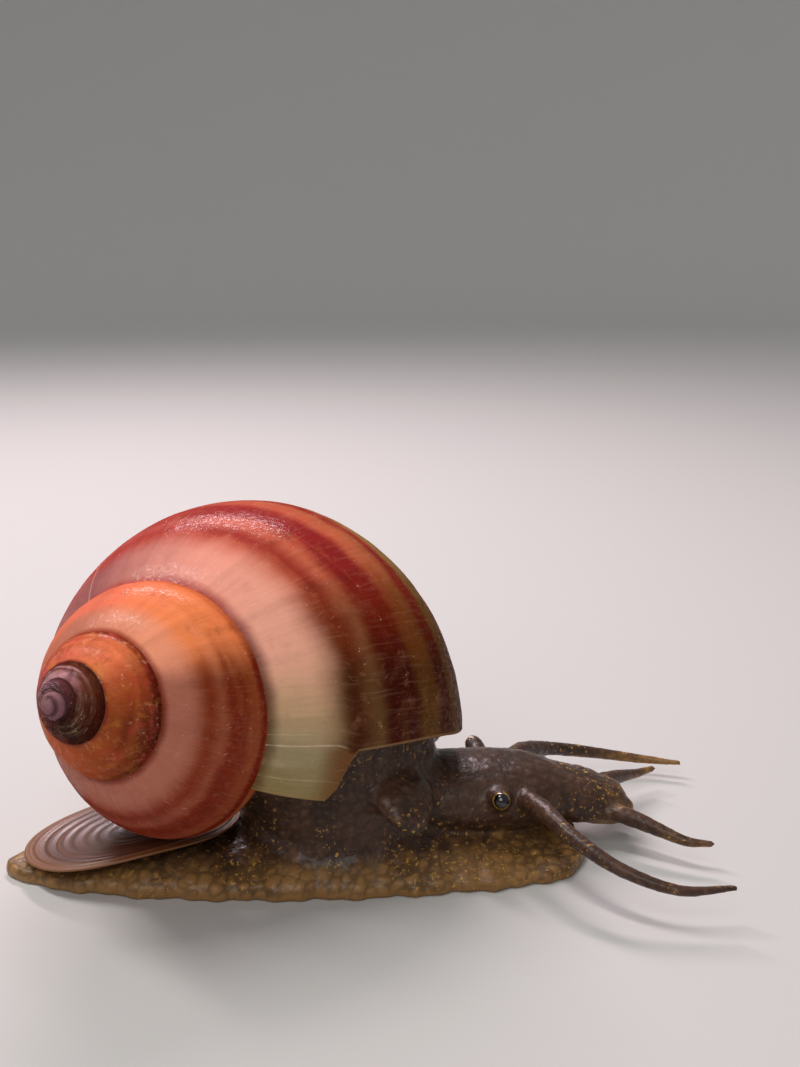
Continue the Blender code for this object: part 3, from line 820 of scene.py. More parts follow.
    def weathered(self, make: Maker, at: ShellPlace, color: Socket) -> Socket:
        """Growth streaks, mottling, specks and scratches laid over the bands.

        Args:
            make: The material in the making.
            at: What it reads.
            color: The bands.

        Returns:
            The colour.
        """
        cloud, blot = make.noise(at.place, 330.0, 6.0, 0.68), make.noise(at.place, 1100.0, 4.0, 0.7)
        grains = {
            Grain.THIN_STREAKS: at.streaks(make), Grain.BROAD_STREAKS: make.noise(at.along(make), 8.0, 3.0),
            Grain.CLOUDS: cloud, Grain.BLOTS: blot, Grain.PATCHES: make.noise(at.place, 620.0, 4.0, 0.68)}
        worn = make.times(at.old, make.step(at.growth, -18.0, -16.6))
        worn_or_low = make.math("MAXIMUM", make.step(at.v, 0.8, 0.6), worn)
        masks = {Where.WORN_WHORL: worn, Where.WORN_OR_LOW: worn_or_low}
        for wash in self.washes:
            share = wash.share
            if wash.where in masks:
                share = make.plus(share, make.times(masks[wash.where], wash.extra))
            color = make.paint(color, wash.tint, make.step(grains[wash.grain], wash.low, wash.high), share)
        specks = make.times(make.step(make.cells(at.place, 1150.0), 0.11, 0.05), make.step(blot, 0.5, 0.58))
        color = make.paint(color, self.speck_tint, specks, 0.55)
        slant = make.plus(make.times(at.growth, 2.0), make.times(at.v, 3.2))
        across = make.minus(make.times(at.growth, 34.0), make.times(at.v, 20.0))
        thin = make.step(make.noise(make.pack(slant, across, 0.0), 1.6, 2.0), 0.69, 0.73)
        return make.paint(color, self.scratch_tint, thin, make.step(cloud, 0.46, 0.56), 0.32)

    def marked(self, make: Maker, at: ShellPlace, color: Socket) -> Socket:
        """Pale lines where growth paused, and the brown edge of the new growth.

        Args:
            make: The material in the making.
            at: What it reads.
            color: The weathered bands.

        Returns:
            The colour.
        """
        across = make.pack(at.line, make.times(at.v, 7.0), 5.0)
        broken = make.step(make.noise(across, 1.0, 3.0), 0.3, 0.6)
        bent = make.plus(at.line, make.times(make.noise(make.pack(0.0, at.v, 0.0), 3.0, 2.0), 0.02))
        for mark in self.marks:
            color = make.paint(color, self.mark_tint, mark.mask(make, make.minus(bent, 0.01), at.v), broken)
        edge = make.times(make.step(at.line, 0.0, 0.03), make.step(at.v, 0.82, 0.7))
        return make.paint(color, self.edge_tint, edge, 0.7)

    def flaked(self, make: Maker, at: ShellPlace, color: Socket, flake: Socket) -> Socket:
        """The tip's worn coat: reddish patches, pale chips on its upper side that are partly a painted
        highlight, and dark cracks.

        Args:
            make: The material in the making.
            at: What it reads.
            color: The colour under the coat.
            flake: The coat's noise.

        Returns:
            The colour.
        """
        patch = make.step(make.noise(at.place, 430.0, 2.0), 0.52, 0.62)
        color = make.paint(color, self.patch_tint, patch, at.tip, 0.5)
        # The pale lilac chips on the upper side of the tip are partly a painted highlight.
        chips = make.mix(make.step(at.growth, -19.2, -20.4), *self.chip_and_highlight_tints)
        upper = make.times(make.step(at.v, 0.35, 0.65), at.tip)
        clumps = make.times(make.step(make.noise(at.place, 600.0, 3.0), 0.38, 0.54), upper)
        color = make.paint(color, chips, make.step(flake, 0.48, 0.66), clumps)
        return make.paint(color, self.crack_tint, make.step(flake, 0.46, 0.3), at.tip)

    def build(self) -> bpy.types.Material:
        """Makes the material: bands, weathering, flaked tip, pale rim and dark inside (partly its own brown,
        partly painted shade), gloss and bump.

        Returns:
            The finished material.
        """
        make = Maker("shell_finish")
        growth, v, line = make.split(make.attribute("coil", vector=True))
        at = ShellPlace(growth, v, line, make.attribute("wall"), make.place(),
                        tip=make.step(growth, -17.0, -18.2), old=make.step(growth, -10.0, -13.0))
        flake = at.flakes(make)
        color = self.marked(make, at, self.weathered(make, at, self.banded(make, at)))
        color = self.flaked(make, at, color, flake)
        color = make.paint(color, self.rim_tint, make.step(at.wall, 0.1, 0.4), 0.5)
        # Dark inside the mouth: partly the inner wall's own brown, partly painted shade.
        color = make.paint(color, self.mouth_shade_tint, make.step(at.wall, 0.55, 0.9), 0.85)
        grain = make.noise(at.place, 2400.0, 4.0, 0.6)
        rough = make.plus(make.plus(self.roughness - 0.16, make.times(grain, 0.22)), make.times(at.old, 0.2))
        moist = make.plus(0.09, make.times(make.step(grain, 0.45, 0.68), 0.3))
        moist = make.times(moist, make.minus(1.0, make.times(at.old, 0.4)))
        ridges = make.bump(at.streaks(make), 0.2, 0.0001)
        dents = make.bump(make.noise(at.place, 900.0, 4.0), 0.2, 0.0002, ridges)
        pits = make.bump(grain, 0.18, 0.00012, dents)
        relief = make.bump(make.times(flake, at.tip), 1.0, 0.0004, pits)
        make.dress(Base_Color=color, Roughness=rough, Specular_IOR_Level=0.0, Coat_Weight=moist,
                   Coat_Roughness=0.2, Normal=relief, Coat_Normal=relief)
        return make.material


@dataclass
class Shell:
    """The whole shell as one piece: outside from tip to lip, over the lip's rim, and down the inner wall."""

    form: ShellForm
    start: float = -29.1
    rows: int = 520
    around: int = 152
    crowding: float = 0.35
    lip_thick: float = 0.5
    wall: float = 0.9
    depth: float = 0.95
    inner_rows: int = 22
    rim_rows: int = 5
    rim_line: float = 0.009
    tip_rows: int = 6
    wave_height: float = 0.07
    wrinkle_height: float = 0.09
    wrinkle_end: float = -18.2
    knob_size: tuple[float, float] = (1.3, 1.4)
    knob_place: Point = (-0.34, -0.48, -1.3)
    knob_rings: int = 40
    knob_growth: float = -28.8
    knob_angle: float = 0.95
    groove_step: float = 0.8
    groove_half: float = 0.11
    groove_depth: float = 0.05

    def ripple(self, line: np.ndarray, v: np.ndarray) -> np.ndarray:
        """Height of growth waves, higher as the whorl grows, and of the wrinkles at the tip."""
        waves = np.stack(np.broadcast_arrays(line * 3.0, v * 0.7, 0.0 * line), -1)
        wave = 0.6 * lattice_noise(waves, 0.55, 3) + 0.4 * lattice_noise(waves, 0.2, 5)
        folds = np.stack(np.broadcast_arrays(line * 2.2 + v * 2.6, v * 4.0 - line, 0.0 * line), -1)
        wrinkle = lattice_noise(folds, 0.6, 9) * (1 - smooth_step((line - self.wrinkle_end) / 1.4))
        wrinkle = wrinkle * smooth_step((v - 0.1) / 0.5)
        return self.wave_height * wave * np.exp(0.1 * line) + self.wrinkle_height * wrinkle

    def grid(self) -> tuple[np.ndarray, np.ndarray, np.ndarray]:
        """Rings from the rounded tip to the mouth's floor.

        Returns:
            Points by ring and place, the coil values (growth, section angle, growth line), and the wall
            values: 0 outside, 0.5 on the lip's rim and 1 inside.
        """
        u = np.linspace(-np.pi, np.pi, self.around, endpoint=False)[None]
        v = u - self.crowding * np.sin(u)
        share = np.linspace(0, 1, self.rows)[:, None]
        line = self.start * (1 - share) ** 1.35
        lip = self.form.lip_growth(v)
        grown = smooth_step((line + 0.5) / 0.5)
        growth = line + lip * grown
        outer = self.form.point(growth, v, -self.ripple(line, v))
        middle = outer[0].mean(0)
        back = (outer[0] - outer[1]).mean(0)
        back *= np.linalg.norm(outer[0] - middle, axis=1).mean() / np.linalg.norm(back)
        angle = np.linspace(np.pi / 2, 0, self.tip_rows + 1)[:-1, None, None]
        dome = middle + (outer[0] - middle)[None] * np.maximum(np.cos(angle), 0.02) + back * np.sin(angle)
        radius = self.form.widest[0]
        bend = np.linspace(0, np.pi, self.rim_rows + 2)[1:-1, None]
        rim_growth = lip + np.sin(bend) * self.lip_thick / 2 / radius
        rim_inset = self.lip_thick / 2 * (1 - np.cos(bend)) + 0 * lip
        rim = self.form.point(rim_growth, v, rim_inset)
        deep = np.linspace(0, 1, self.inner_rows)[:, None]
        in_growth = lip + (-self.depth - lip) * deep
        in_inset = self.lip_thick + (self.wall - self.lip_thick) * smooth_step(deep / 0.3) + 0 * lip
        inner = self.form.point(in_growth, v, in_inset)
        points = np.concatenate([dome, outer, rim, inner])
        tip = np.full((self.tip_rows, self.around), self.start)
        growths = [tip, growth, rim_growth, in_growth]
        ahead = self.form.sweep(v)
        lines = [tip, growth - ahead * grown, rim_growth - ahead, in_growth - ahead]
        coil = np.stack([np.concatenate(growths), np.repeat(v, len(points), 0), np.concatenate(lines)], -1)
        wall = np.zeros(points.shape[:2])
        near_rim = np.clip(1 - (lip - growth) / self.rim_line, 0, 1)
        wall[self.tip_rows:self.tip_rows + self.rows] = 0.5 * near_rim
        wall[-self.inner_rows - self.rim_rows:] = 0.5
        wall[-self.inner_rows:] = 1
        return points, coil, wall

    def knob(self) -> tuple[np.ndarray, np.ndarray]:
        """The hatchling's knob on the tip: an oval ball with a groove that winds one turn and a half down it.

        Returns:
            Points by ring and place from pole to pole, and their coil values.
        """
        axis, level, upward = self.form.directions()
        tilt = np.linspace(0.04, np.pi - 0.04, self.knob_rings)[:, None]
        angle = np.linspace(0, TAU, self.around, endpoint=False)[None]
        turns = (tilt - 0.3) / self.groove_step - angle / TAU
        off = np.abs(turns - np.round(turns)) * self.groove_step
        groove = np.exp(-(off / self.groove_half) ** 2) * smooth_step((tilt - 0.1) / 0.4)
        radius = 1 - self.groove_depth * groove
        across, along = self.knob_size
        centre = self.form.origin() + np.array(self.knob_place) @ np.stack([level, upward, axis])
        out = np.cos(angle)[..., None] * level + np.sin(angle)[..., None] * upward
        points = centre + across * (radius * np.sin(tilt))[..., None] * out
        points = points + along * (radius * np.cos(tilt))[..., None] * axis
        growth = self.knob_growth + 1.8 * groove + 0.6 * tilt
        line = self.knob_growth + 2 * np.sin(angle) + 0 * groove
        return points, np.stack([growth, self.knob_angle + 0 * groove, line], -1)

    def build(self) -> Piece:
        """Makes the shell's mesh, with its coil values for the bands.

        Returns:
            The dressed piece.
        """
        points, coil, wall = self.grid()
        ball, ball_coil = self.knob()
        rows = [points.reshape(-1, 3), points[[0, -1]].mean(1), ball.reshape(-1, 3), ball[[0, -1]].mean(1)]
        values = [coil.reshape(-1, 3), coil[[0, -1]].mean(1),
                  ball_coil.reshape(-1, 3), ball_coil[[0, -1]].mean(1)]
        faces = tube_faces(*points.shape[:2])
        past = len(rows[0]) + 2
        more = [[past + number for number in face[::-1]] for face in tube_faces(*ball.shape[:2])]
        piece = new_piece("shell", np.concatenate(rows), faces + more)
        set_values(piece, "coil", np.concatenate(values))
        set_values(piece, "wall", np.concatenate([wall.ravel(), [0.0, 1.0], np.zeros(ball[..., 0].size + 2)]))
        turn_outward(piece)
        piece.data.materials.append(ShellFinish().build())
        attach(piece, "root")
        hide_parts("shell_body_whorl", "shell_penultimate_whorl", "shell_third_whorl", "shell_apex")
        return piece


def signed_volume(piece: Piece) -> float:
    """Volume inside a mesh, below 0 where its faces point inward."""
    mesh = piece.data
    mesh.calc_loop_triangles()
    corners = np.empty(len(mesh.loop_triangles) * 3, np.int32)
    mesh.loop_triangles.foreach_get("vertices", corners)
    places = np.empty(len(mesh.vertices) * 3, np.float32)
    mesh.vertices.foreach_get("co", places)
    a, b, c = places.reshape(-1, 3).astype(float)[corners.reshape(-1, 3)].transpose(1, 0, 2)
    return float((a * np.cross(b, c)).sum() / 6)


def turn_outward(piece: Piece) -> None:
    """Turns every face round where the mesh is inside out."""
    if signed_volume(piece) < 0:
        piece.data.flip_normals()


@dataclass(frozen=True)
class Limb:
    """A tapered limb: a path before the shift, radii or half sizes along it, its fillet and its samples."""

    points: tuple[Point, ...]
    sizes: tuple[float, ...] | tuple[tuple[float, float], ...]
    blend: float
    samples: int = 24

    def on(self, side: Side) -> "Limb":
        """The limb on one side of the animal, where it is given for the left."""
        return replace(self, points=tuple((x, side.value * y, z) for x, y, z in self.points))


class FleshField:
    """Signed distance to the flesh on a grid of points, below 0 inside, in millimetres."""

    def __init__(self, low: Point, high: Point, step: float) -> None:
        """Starts an empty field.

        Args:
            low: Lowest corner in millimetres; its Z is a whole number of steps below 0.
            high: Highest corner.
            step: Distance between grid points.
        """
        self.step = step
        self.low = np.round(np.array(low) / step) * step
        self.size = np.ceil((np.array(high) - self.low) / step).astype(int) + 1
        self.values = np.full(self.size, 5.0, np.float32)

    def window(self, low: np.ndarray, high: np.ndarray) -> tuple[Window, np.ndarray]:
        """The part of the grid inside a box.

        Args:
            low: Lowest corner.
            high: Highest corner.

        Returns:
            Slices of the grid, and the places of its points.
        """
        first = np.clip(np.floor((low - self.low) / self.step).astype(int), 0, self.size - 1)
        last = np.clip(np.ceil((high - self.low) / self.step).astype(int) + 1, first + 1, self.size)
        spans = [self.low[k] + self.step * np.arange(first[k], last[k]) for k in range(3)]
        window = tuple(slice(int(a), int(b)) for a, b in zip(first, last))
        return window, np.stack(np.meshgrid(*spans, indexing="ij"), -1)

    def add(self, window: Window, distance: np.ndarray, blend: float) -> None:
        """Joins a form on: the lesser distance, eased by a cubic where the two are within the blend.

        Args:
            window: Part of the grid that the form covers.
            distance: Signed distance to the form.
            blend: Width of the fillet in millimetres.
        """
        old = self.values[window]
        near = np.maximum(blend - np.abs(old - distance), 0) / blend
        self.values[window] = np.minimum(old, distance) - near ** 3 * blend / 6

    def cut(self, window: Window, distance: np.ndarray) -> None:
        """Takes a form away: the greater of the old distance and the form's turned inside out."""
        self.values[window] = np.maximum(self.values[window], -distance)

    def add_limb(self, limb: Limb) -> None:
        """Joins on a limb: oval sections carried along its path, with rounded ends."""
        path = path_through(limb.points, limb.samples) + SHIFT
        halves = eased_sizes(limb.sizes, limb.samples)
        reach = halves.max() + limb.blend + 0.8
        window, places = self.window(path.min(0) - reach, path.max(0) + reach)
        self.add(window, limb_distance(places, path, halves), limb.blend)

    def surface(self) -> tuple[np.ndarray, np.ndarray]:
        """Mesh of the zero level: one point in each crossed cell, the mean of its edges' crossings.

        Returns:
            Vertices in millimetres, and quads facing outward.
        """
        f = self.values
        solid = f < 0
        cells = tuple(n - 1 for n in f.shape)
        total = np.zeros((*cells, 3), np.float32)
        count = np.zeros(cells, np.int32)
        crossings = []
        for axis in range(3):
            a, b = np.moveaxis(f, axis, 0)[:-1], np.moveaxis(f, axis, 0)[1:]
            a, b = np.moveaxis(a, 0, axis), np.moveaxis(b, 0, axis)
            inner = np.moveaxis(np.moveaxis(solid, axis, 0)[:-1], 0, axis)
            outer = np.moveaxis(np.moveaxis(solid, axis, 0)[1:], 0, axis)
            at = np.argwhere(inner != outer)
            fa, fb = a[tuple(at.T)], b[tuple(at.T)]
            place = at.astype(np.float32)
            place[:, axis] += fa / (fa - fb)
            others = [k for k in range(3) if k != axis]
            keep = np.all((at[:, others] > 0) & (at[:, others] < np.array(cells)[others]), axis=1)
            at, place, rising = at[keep], place[keep], inner[tuple(at.T)][keep]
            corners = []
            for back in ((1, 1), (0, 1), (0, 0), (1, 0)):
                cell = at.copy()
                cell[:, others[0]] -= back[0]
                cell[:, others[1]] -= back[1]
                flat = np.ravel_multi_index(tuple(cell.T), cells)
                for k in range(3):
                    total[..., k] += np.bincount(flat, place[:, k], total[..., k].size).reshape(cells)
                count += np.bincount(flat, minlength=count.size).reshape(cells)
                corners.append(flat)
            quads = np.stack(corners, -1)
            turned = rising if axis != 1 else ~rising
            crossings.append(np.where(turned[:, None], quads, quads[:, ::-1]))
        used = np.flatnonzero(count.ravel())
        number = np.full(count.size, -1, np.int64)
        number[used] = np.arange(len(used))
        points = total.reshape(-1, 3)[used] / count.ravel()[used, None] * self.step + self.low
        return points.astype(float), number[np.concatenate(crossings)]


def limb_distance(places: np.ndarray, path: np.ndarray, halves: np.ndarray) -> np.ndarray:
    """Distance to a limb, from each place's offset from the nearest point of the path and the oval there.

    Args:
        places: Grid points.
        path: Samples along the limb's middle.
        halves: Half width and half height at each sample.

    Returns:
        Signed distance in millimetres, about right near the surface.
    """
    nearest = np.full(places.shape[:-1], np.inf)
    at = np.zeros(places.shape[:-1])
    for k, (a, b) in enumerate(zip(path, path[1:])):
        share = np.clip((places - a) @ (b - a) / ((b - a) @ (b - a)), 0, 1)
        gap = ((places - a - share[..., None] * (b - a)) ** 2).sum(-1)
        nearer = gap < nearest
        nearest = np.where(nearer, gap, nearest)
        at = np.where(nearer, k + share, at)
    low = np.minimum(at.astype(int), len(path) - 2)
    part = (at - low)[..., None]
    ahead = np.gradient(path, axis=0)
    centre = path[low] * (1 - part) + path[low + 1] * part
    half = halves[low] * (1 - part) + halves[low + 1] * part
    ahead = ahead[low] * (1 - part) + ahead[low + 1] * part
    ahead /= np.linalg.norm(ahead, axis=-1)[..., None]
    side = np.cross((0, 0, 1), ahead)
    side /= np.linalg.norm(side, axis=-1)[..., None]
    upward = np.cross(ahead, side)
    offset = places - centre
    lesser = half.min(-1)
    across, lift = (offset * side).sum(-1) / half[..., 0], (offset * upward).sum(-1) / half[..., 1]
    over = (offset * ahead).sum(-1) / lesser
    return (np.sqrt(across ** 2 + lift ** 2 + over ** 2) - 1) * lesser


@dataclass(frozen=True)
class SkinFinish:
    """Moist skin: golden brown at the sole, purple black above, mottled, with fine gold flecks and painted
    shade in its furrows.
    """

    roughness: float = 0.36
    gold_tints: tuple[Color, Color] = (linear((164, 124, 74)), linear((124, 88, 48)))
    deep_tints: tuple[Color, Color] = (linear((88, 60, 46)), linear((54, 36, 27)))
    # Painted shade in the furrows of the relief.
    furrow_shade_tint: Color = linear((38, 26, 22))
    crest_tint: Color = linear((140, 108, 84))
    fleck_tint: Color = linear((214, 164, 78))
    grain_tint: Color = linear((150, 120, 92))

    def build(self) -> bpy.types.Material:
        """Makes the material.

        Returns:
            The finished material.
        """
        make = Maker("skin_finish")
        place, dark, fold = make.place(), make.attribute("dark"), make.attribute("fold")
        mottle = make.noise(place, 420.0, 5.0, 0.6)
        blot = make.noise(place, 150.0, 3.0)
        grain = make.noise(place, 1700.0, 3.0, 0.6)
        gold, deep = make.mix(blot, *self.gold_tints), make.mix(blot, *self.deep_tints)
        color = make.mix(make.step(make.sway(dark, mottle, 1.3), 0.26, 0.8), gold, deep)
        # Painted shade: the skin darkened in the furrows of its relief.
        color = make.paint(color, self.furrow_shade_tint, make.step(fold, 0.1, -0.7), 0.6)
        color = make.paint(color, self.crest_tint, make.step(fold, 0.2, 0.8), 0.25)
        fleck = make.step(make.noise(place, 2300.0, 2.0, 0.6), 0.6, 0.68)
        color = make.paint(color, self.fleck_tint, fleck, make.step(blot, 0.42, 0.58), 0.65)
        color = make.paint(color, self.grain_tint, make.step(grain, 0.5, 0.75), 0.2)
        rough = make.plus(self.roughness - 0.1, make.times(mottle, 0.24))
        pores = make.bump(make.cells(place, 2600.0), 0.35, 0.0001)
        make.dress(Base_Color=color, Roughness=rough, Normal=make.bump(mottle, 0.3, 0.0002, pores))
        make.dress(Specular_IOR_Level=0.25, Coat_Weight=0.2, Coat_Roughness=0.26, Coat_IOR=1.36,
                   Subsurface_Weight=0.2, Subsurface_Scale=0.001)
        return make.material


@dataclass
class Skin:
    """All the flesh as one closed skin: foot, column, mantle, head, snout, feelers, siphon and neck lobe."""

    form: ShellForm
    step: float = 0.27
    low: Point = (-38.6, -19.2, -1.08)
    high: Point = (38.6, 19.2, 27.0)
    tail_x: float = -31.0
    toe_x: float = 28.5
    foot_half: float = 11.0
    foot_widest: float = 0.68
    foot_rim: float = 1.2
    foot_lift: float = 0.12
    foot_blend: float = 0.9
    ruffles: tuple[Point, ...] = ((0.22, 0.9, 0.0), (0.16, 2.3, 1.0))
    crown_low: float = 1.3
    crown_steps: tuple[Point, ...] = ((2.5, 0.0, 0.3), (0.9, 0.35, 0.2), (-3.1, 0.62, 0.38))
    column_x: float = 3.6
    column_half: tuple[float, float] = (10.8, 8.6)
    column_waist: float = 0.12
    column_inset: float = 2.6
    column_blend: float = 2.2
    mantle_edge: float = -0.14
    mantle_depth: float = 0.62
    mantle_blend: float = 1.2
    mouth_depth: float = 0.95
    wall: float = 0.9
    clearance: float = 0.14
    head: Limb = Limb(((8, 0, 6.4), (15, 0, 6.2), (20.5, 0, 6.1), (24.0, 0, 5.8), (26.4, 0, 5.5)),
                      ((5.6, 3.9), (5.9, 4.0), (5.9, 3.9), (5.1, 3.5), (3.6, 2.7)), 1.6)
    snout: Limb = Limb(((22.3, 0, 5.8), (25.8, 0, 5.3), (29.3, 0, 4.8), (32.0, 0, 4.2)),
                       ((3.9, 3.0), (4.1, 2.9), (4.3, 2.7), (3.2, 2.1)), 1.2)
    lip: Limb = Limb(((30.6, 1.55, 4.0), (32.6, 1.55, 3.7), (33.5, 1.5, 3.5)),
                     ((1.6, 1.9), (1.5, 1.8), (1.1, 1.3)), 0.5, 8)
    palp: Limb = Limb(((30.4, 2.6, 4.3), (33.0, 4.6, 4.1), (35.6, 6.8, 3.5), (38.0, 8.6, 2.9),
                       (40.3, 9.6, 2.9)), (1.05, 0.95, 0.75, 0.55, 0.35), 0.7)
    stalk: Limb = Limb(((19.2, 3.6, 6.8), (19.1, 5.9, 7.5), (18.9, 7.2, 8.0)), (1.5, 1.2, 1.05), 0.8, 10)
    tentacle_radii: tuple[float, ...] = (1.15, 1.0, 0.85, 0.7, 0.55, 0.32)
    left_tentacle: Limb = Limb(((21.6, 3.8, 6.8), (24.4, 8.0, 6.7), (28.8, 12.2, 5.0), (34.4, 14.6, 3.2),
                                (40.0, 14.6, 2.1), (44.6, 12.8, 2.0)), tentacle_radii, 0.9, 40)
    right_tentacle: Limb = Limb(((21.6, -3.8, 6.8), (22.8, -8.6, 7.4), (24.6, -13.6, 6.7), (28.2, -17.8, 5.2),
                                 (33.2, -20.4, 4.0), (38.4, -21.0, 4.2)), tentacle_radii, 0.9, 40)
    slit: tuple[Point, ...] = ((32.6, 0.0, 2.4), (33.6, 0.0, 3.5), (34.6, 0.0, 4.6))
    slit_halves: tuple[tuple[float, float], ...] = ((0.28, 1.2), (0.36, 1.25), (0.45, 1.3))
    siphon: Limb = Limb(((7.5, 4.2, 7.6), (8.8, 7.8, 8.0), (11.0, 11.0, 8.2), (13.8, 13.2, 8.4)),
                        ((2.6, 2.4), (2.6, 2.3), (2.7, 2.3), (2.9, 2.4)), 1.0)
    siphon_end: Point = (16.2, 15.0, 8.6)
    siphon_wall: float = 0.8
    lobe: Limb = Limb(((8.0, -4.5, 9.4), (8.8, -7.0, 9.2), (9.6, -8.8, 8.0), (10.0, -9.4, 6.6)),
                      ((3.4, 2.0), (3.3, 1.5), (2.7, 1.15), (1.6, 0.8)), 1.6, 16)
    relief_depth: float = 0.11

    def half_width(self, x: np.ndarray) -> np.ndarray:
        """Half width of the sole: powers of the way along give a rounded tail and a square toe."""
        u = np.clip((x - self.tail_x) / (self.toe_x - self.tail_x), 0, 1)
        tail = 1 - (1 - np.clip(u / self.foot_widest, 0, 1)) ** 1.8
        toe = 1 - np.clip((u - self.foot_widest) / (1 - self.foot_widest), 0, 1) ** 4.0
        return self.foot_half * np.where(u < self.foot_widest, tail ** 0.58, toe ** 0.25)

    def crown(self, x: np.ndarray) -> np.ndarray:
        """Height of the foot along its middle, in three smooth steps."""
        u = np.clip((x - self.tail_x) / (self.toe_x - self.tail_x), 0, 1)
        height = self.crown_low
        for rise, start, length in self.crown_steps:
            height = height + rise * smooth_step((u - start) / length)
        return height

    def add_foot(self, field: FleshField) -> None:
        """Joins on the foot: flat sole, thin wavy rim, and a crown that falls with the side's 2.6th power."""
        low = np.array([self.tail_x - 1, -self.foot_half - 1.5, -1.08]) + SHIFT
        high = np.array([self.toe_x + 1, self.foot_half + 1.5, 7.0]) + SHIFT
        window, places = field.window(low, high)
        x, y, z = np.moveaxis(places - SHIFT, -1, 0)
        line = x[:, 0, 0]
        half = np.maximum(self.half_width(line), 0.05)
        slope = np.gradient(half, line)
        around = x + np.where(y < 0, 40.0, 0.0)
        ruffle = sum(height * np.sin(around * pace + start) for height, pace, start in self.ruffles)
        edge = half[:, None, None] + ruffle * np.clip(half / 6, 0, 1)[:, None, None]
        outside = (np.abs(y) - edge) / np.sqrt(1 + np.clip(slope, -6, 6) ** 2)[:, None, None]
        side = np.clip(np.abs(y) / np.maximum(edge, 0.3), 0, 1)
        rise = self.crown(line)[:, None, None] - self.foot_rim
        top = self.foot_rim + self.foot_lift + np.maximum(rise, 0) * (1 - side ** 2.6)
        lift = z - top
        near = np.maximum(self.foot_blend - np.abs(lift - outside), 0) / self.foot_blend
        form = np.maximum(lift, outside) + near ** 3 * self.foot_blend / 6
        ends = np.maximum(self.tail_x + 0.1 - x, x - self.toe_x + 0.1)
        form = np.maximum(form, ends)
        field.add(window, form, 0.5)

    def coiled(self, places: np.ndarray, chart: SectionChart, turn: int) -> Coiled:
        """Reads places in the shell's own terms: turn about the axis gives the growth, the rest the section.

        Args:
            places: Grid points in millimetres.
            chart: Table of the section.
            turn: How many turns before the last one.

        Returns:
            Growth angle, distance outside the section, section angle, and distance from the axis.
        """
        axis, level, upward = self.form.directions()
        offset = places - self.form.origin()
        z = offset @ axis
        across, up = offset @ level, offset @ upward
        r = np.hypot(across, up)
        past = 0.75
        angle = np.arctan2(up, across) - math.radians(self.form.lip_turn)
        growth = np.mod(angle - past, TAU) + past - TAU * (turn + 1)
        grow_r, grow_z = np.exp(self.form.growth_r * growth), np.exp(self.form.growth_z * growth)
        distance, section = chart.read(r / grow_r, z / grow_z)
        return Coiled(growth, distance * np.sqrt(grow_r * grow_z), section, r)

    def add_column(self, field: FleshField) -> None:
        """Joins on the body column: ovals between the mouth's ring and the foot, blended by height."""
        v = np.linspace(0, TAU, 60, endpoint=False)
        ring = self.form.point(np.full_like(v, self.mantle_edge), v, self.column_inset)
        middle = ring.mean(0)
        flat = ring[:, :2] - middle[:2]
        _, _, turns = np.linalg.svd(flat, full_matrices=False)
        reach = np.abs(flat @ turns.T).max(0)
        foot = np.array([self.column_x, 0.0]) + SHIFT[:2]
        base, top = 2.0, middle[2]
        low = np.array([*(np.minimum(foot, middle[:2]) - 16), 0.5])
        high = np.array([*(np.maximum(foot, middle[:2]) + 16), ring[:, 2].max() + 1.5])
        window, places = field.window(low, high)
        share = np.clip((places[..., 2] - base) / (top - base), 0, 1.25)
        slide = smooth_step(share)
        centre = foot + slide[..., None] * (middle[:2] - foot)
        heading = math.atan2(turns[0, 1], turns[0, 0])
        heading = heading - math.pi * round(heading / math.pi)
        turned = heading * slide
        waist = 1 - self.column_waist * np.sin(np.pi * np.clip(share, 0, 1))
        long = (self.column_half[0] + (reach[0] - self.column_half[0]) * slide) * waist
        wide = (self.column_half[1] + (reach[1] - self.column_half[1]) * slide) * waist
        offset = places[..., :2] - centre
        ahead = offset[..., 0] * np.cos(turned) + offset[..., 1] * np.sin(turned)
        across = offset[..., 1] * np.cos(turned) - offset[..., 0] * np.sin(turned)
        form = (np.hypot(ahead / long, across / wide) - 1) * np.minimum(long, wide)
        form = np.maximum(form, places[..., 2] - high[2] + 1.0)
        field.add(window, form, self.column_blend)

    def add_mantle(self, field: FleshField, chart: SectionChart) -> None:
        """Joins on the flesh that fills the shell's mouth, and cuts all flesh clear of the shell's wall."""
        v = np.linspace(0, TAU, 60, endpoint=False)
        ring = self.form.point(np.linspace(-1.0, 0.75, 12)[:, None], v[None])
        window, places = field.window(ring.min((0, 1)) - 1, ring.max((0, 1)) + 1)
        last = self.coiled(places, chart, 0)
        lip = self.form.lip_growth(last.angle)
        plug = last.distance + self.wall + self.clearance
        plug = np.maximum(plug, (last.growth - self.mantle_edge) * last.radius)
        plug = np.maximum(plug, -(last.growth + self.mantle_depth) * last.radius)
        field.add(window, plug, self.mantle_blend)
        cavity = np.maximum(last.distance + self.wall, -(last.growth + self.mouth_depth) * last.radius)
        whorl = np.maximum(last.distance, (last.growth - lip) * last.radius)
        wall = np.maximum(whorl, -cavity)
        for turn in (1, 2):
            wall = np.minimum(wall, self.coiled(places, chart, turn).distance)
        field.cut(window, wall - self.clearance)

    def add_head(self, field: FleshField) -> None:
        """Joins on head, snout, lips, palps, eye stalks and tentacles, and opens the mouth's slit."""
        field.add_limb(self.head)
        field.add_limb(self.snout)
        for side in Side:
            for limb in (self.lip, self.palp, self.stalk):
                field.add_limb(limb.on(side))
        field.add_limb(self.left_tentacle)
        field.add_limb(self.right_tentacle)
        slit = np.array(self.slit) + SHIFT
        window, places = field.window(slit[0] - 2, slit[-1] + 2)
        field.cut(window, limb_distance(places, slit, np.array(self.slit_halves)))

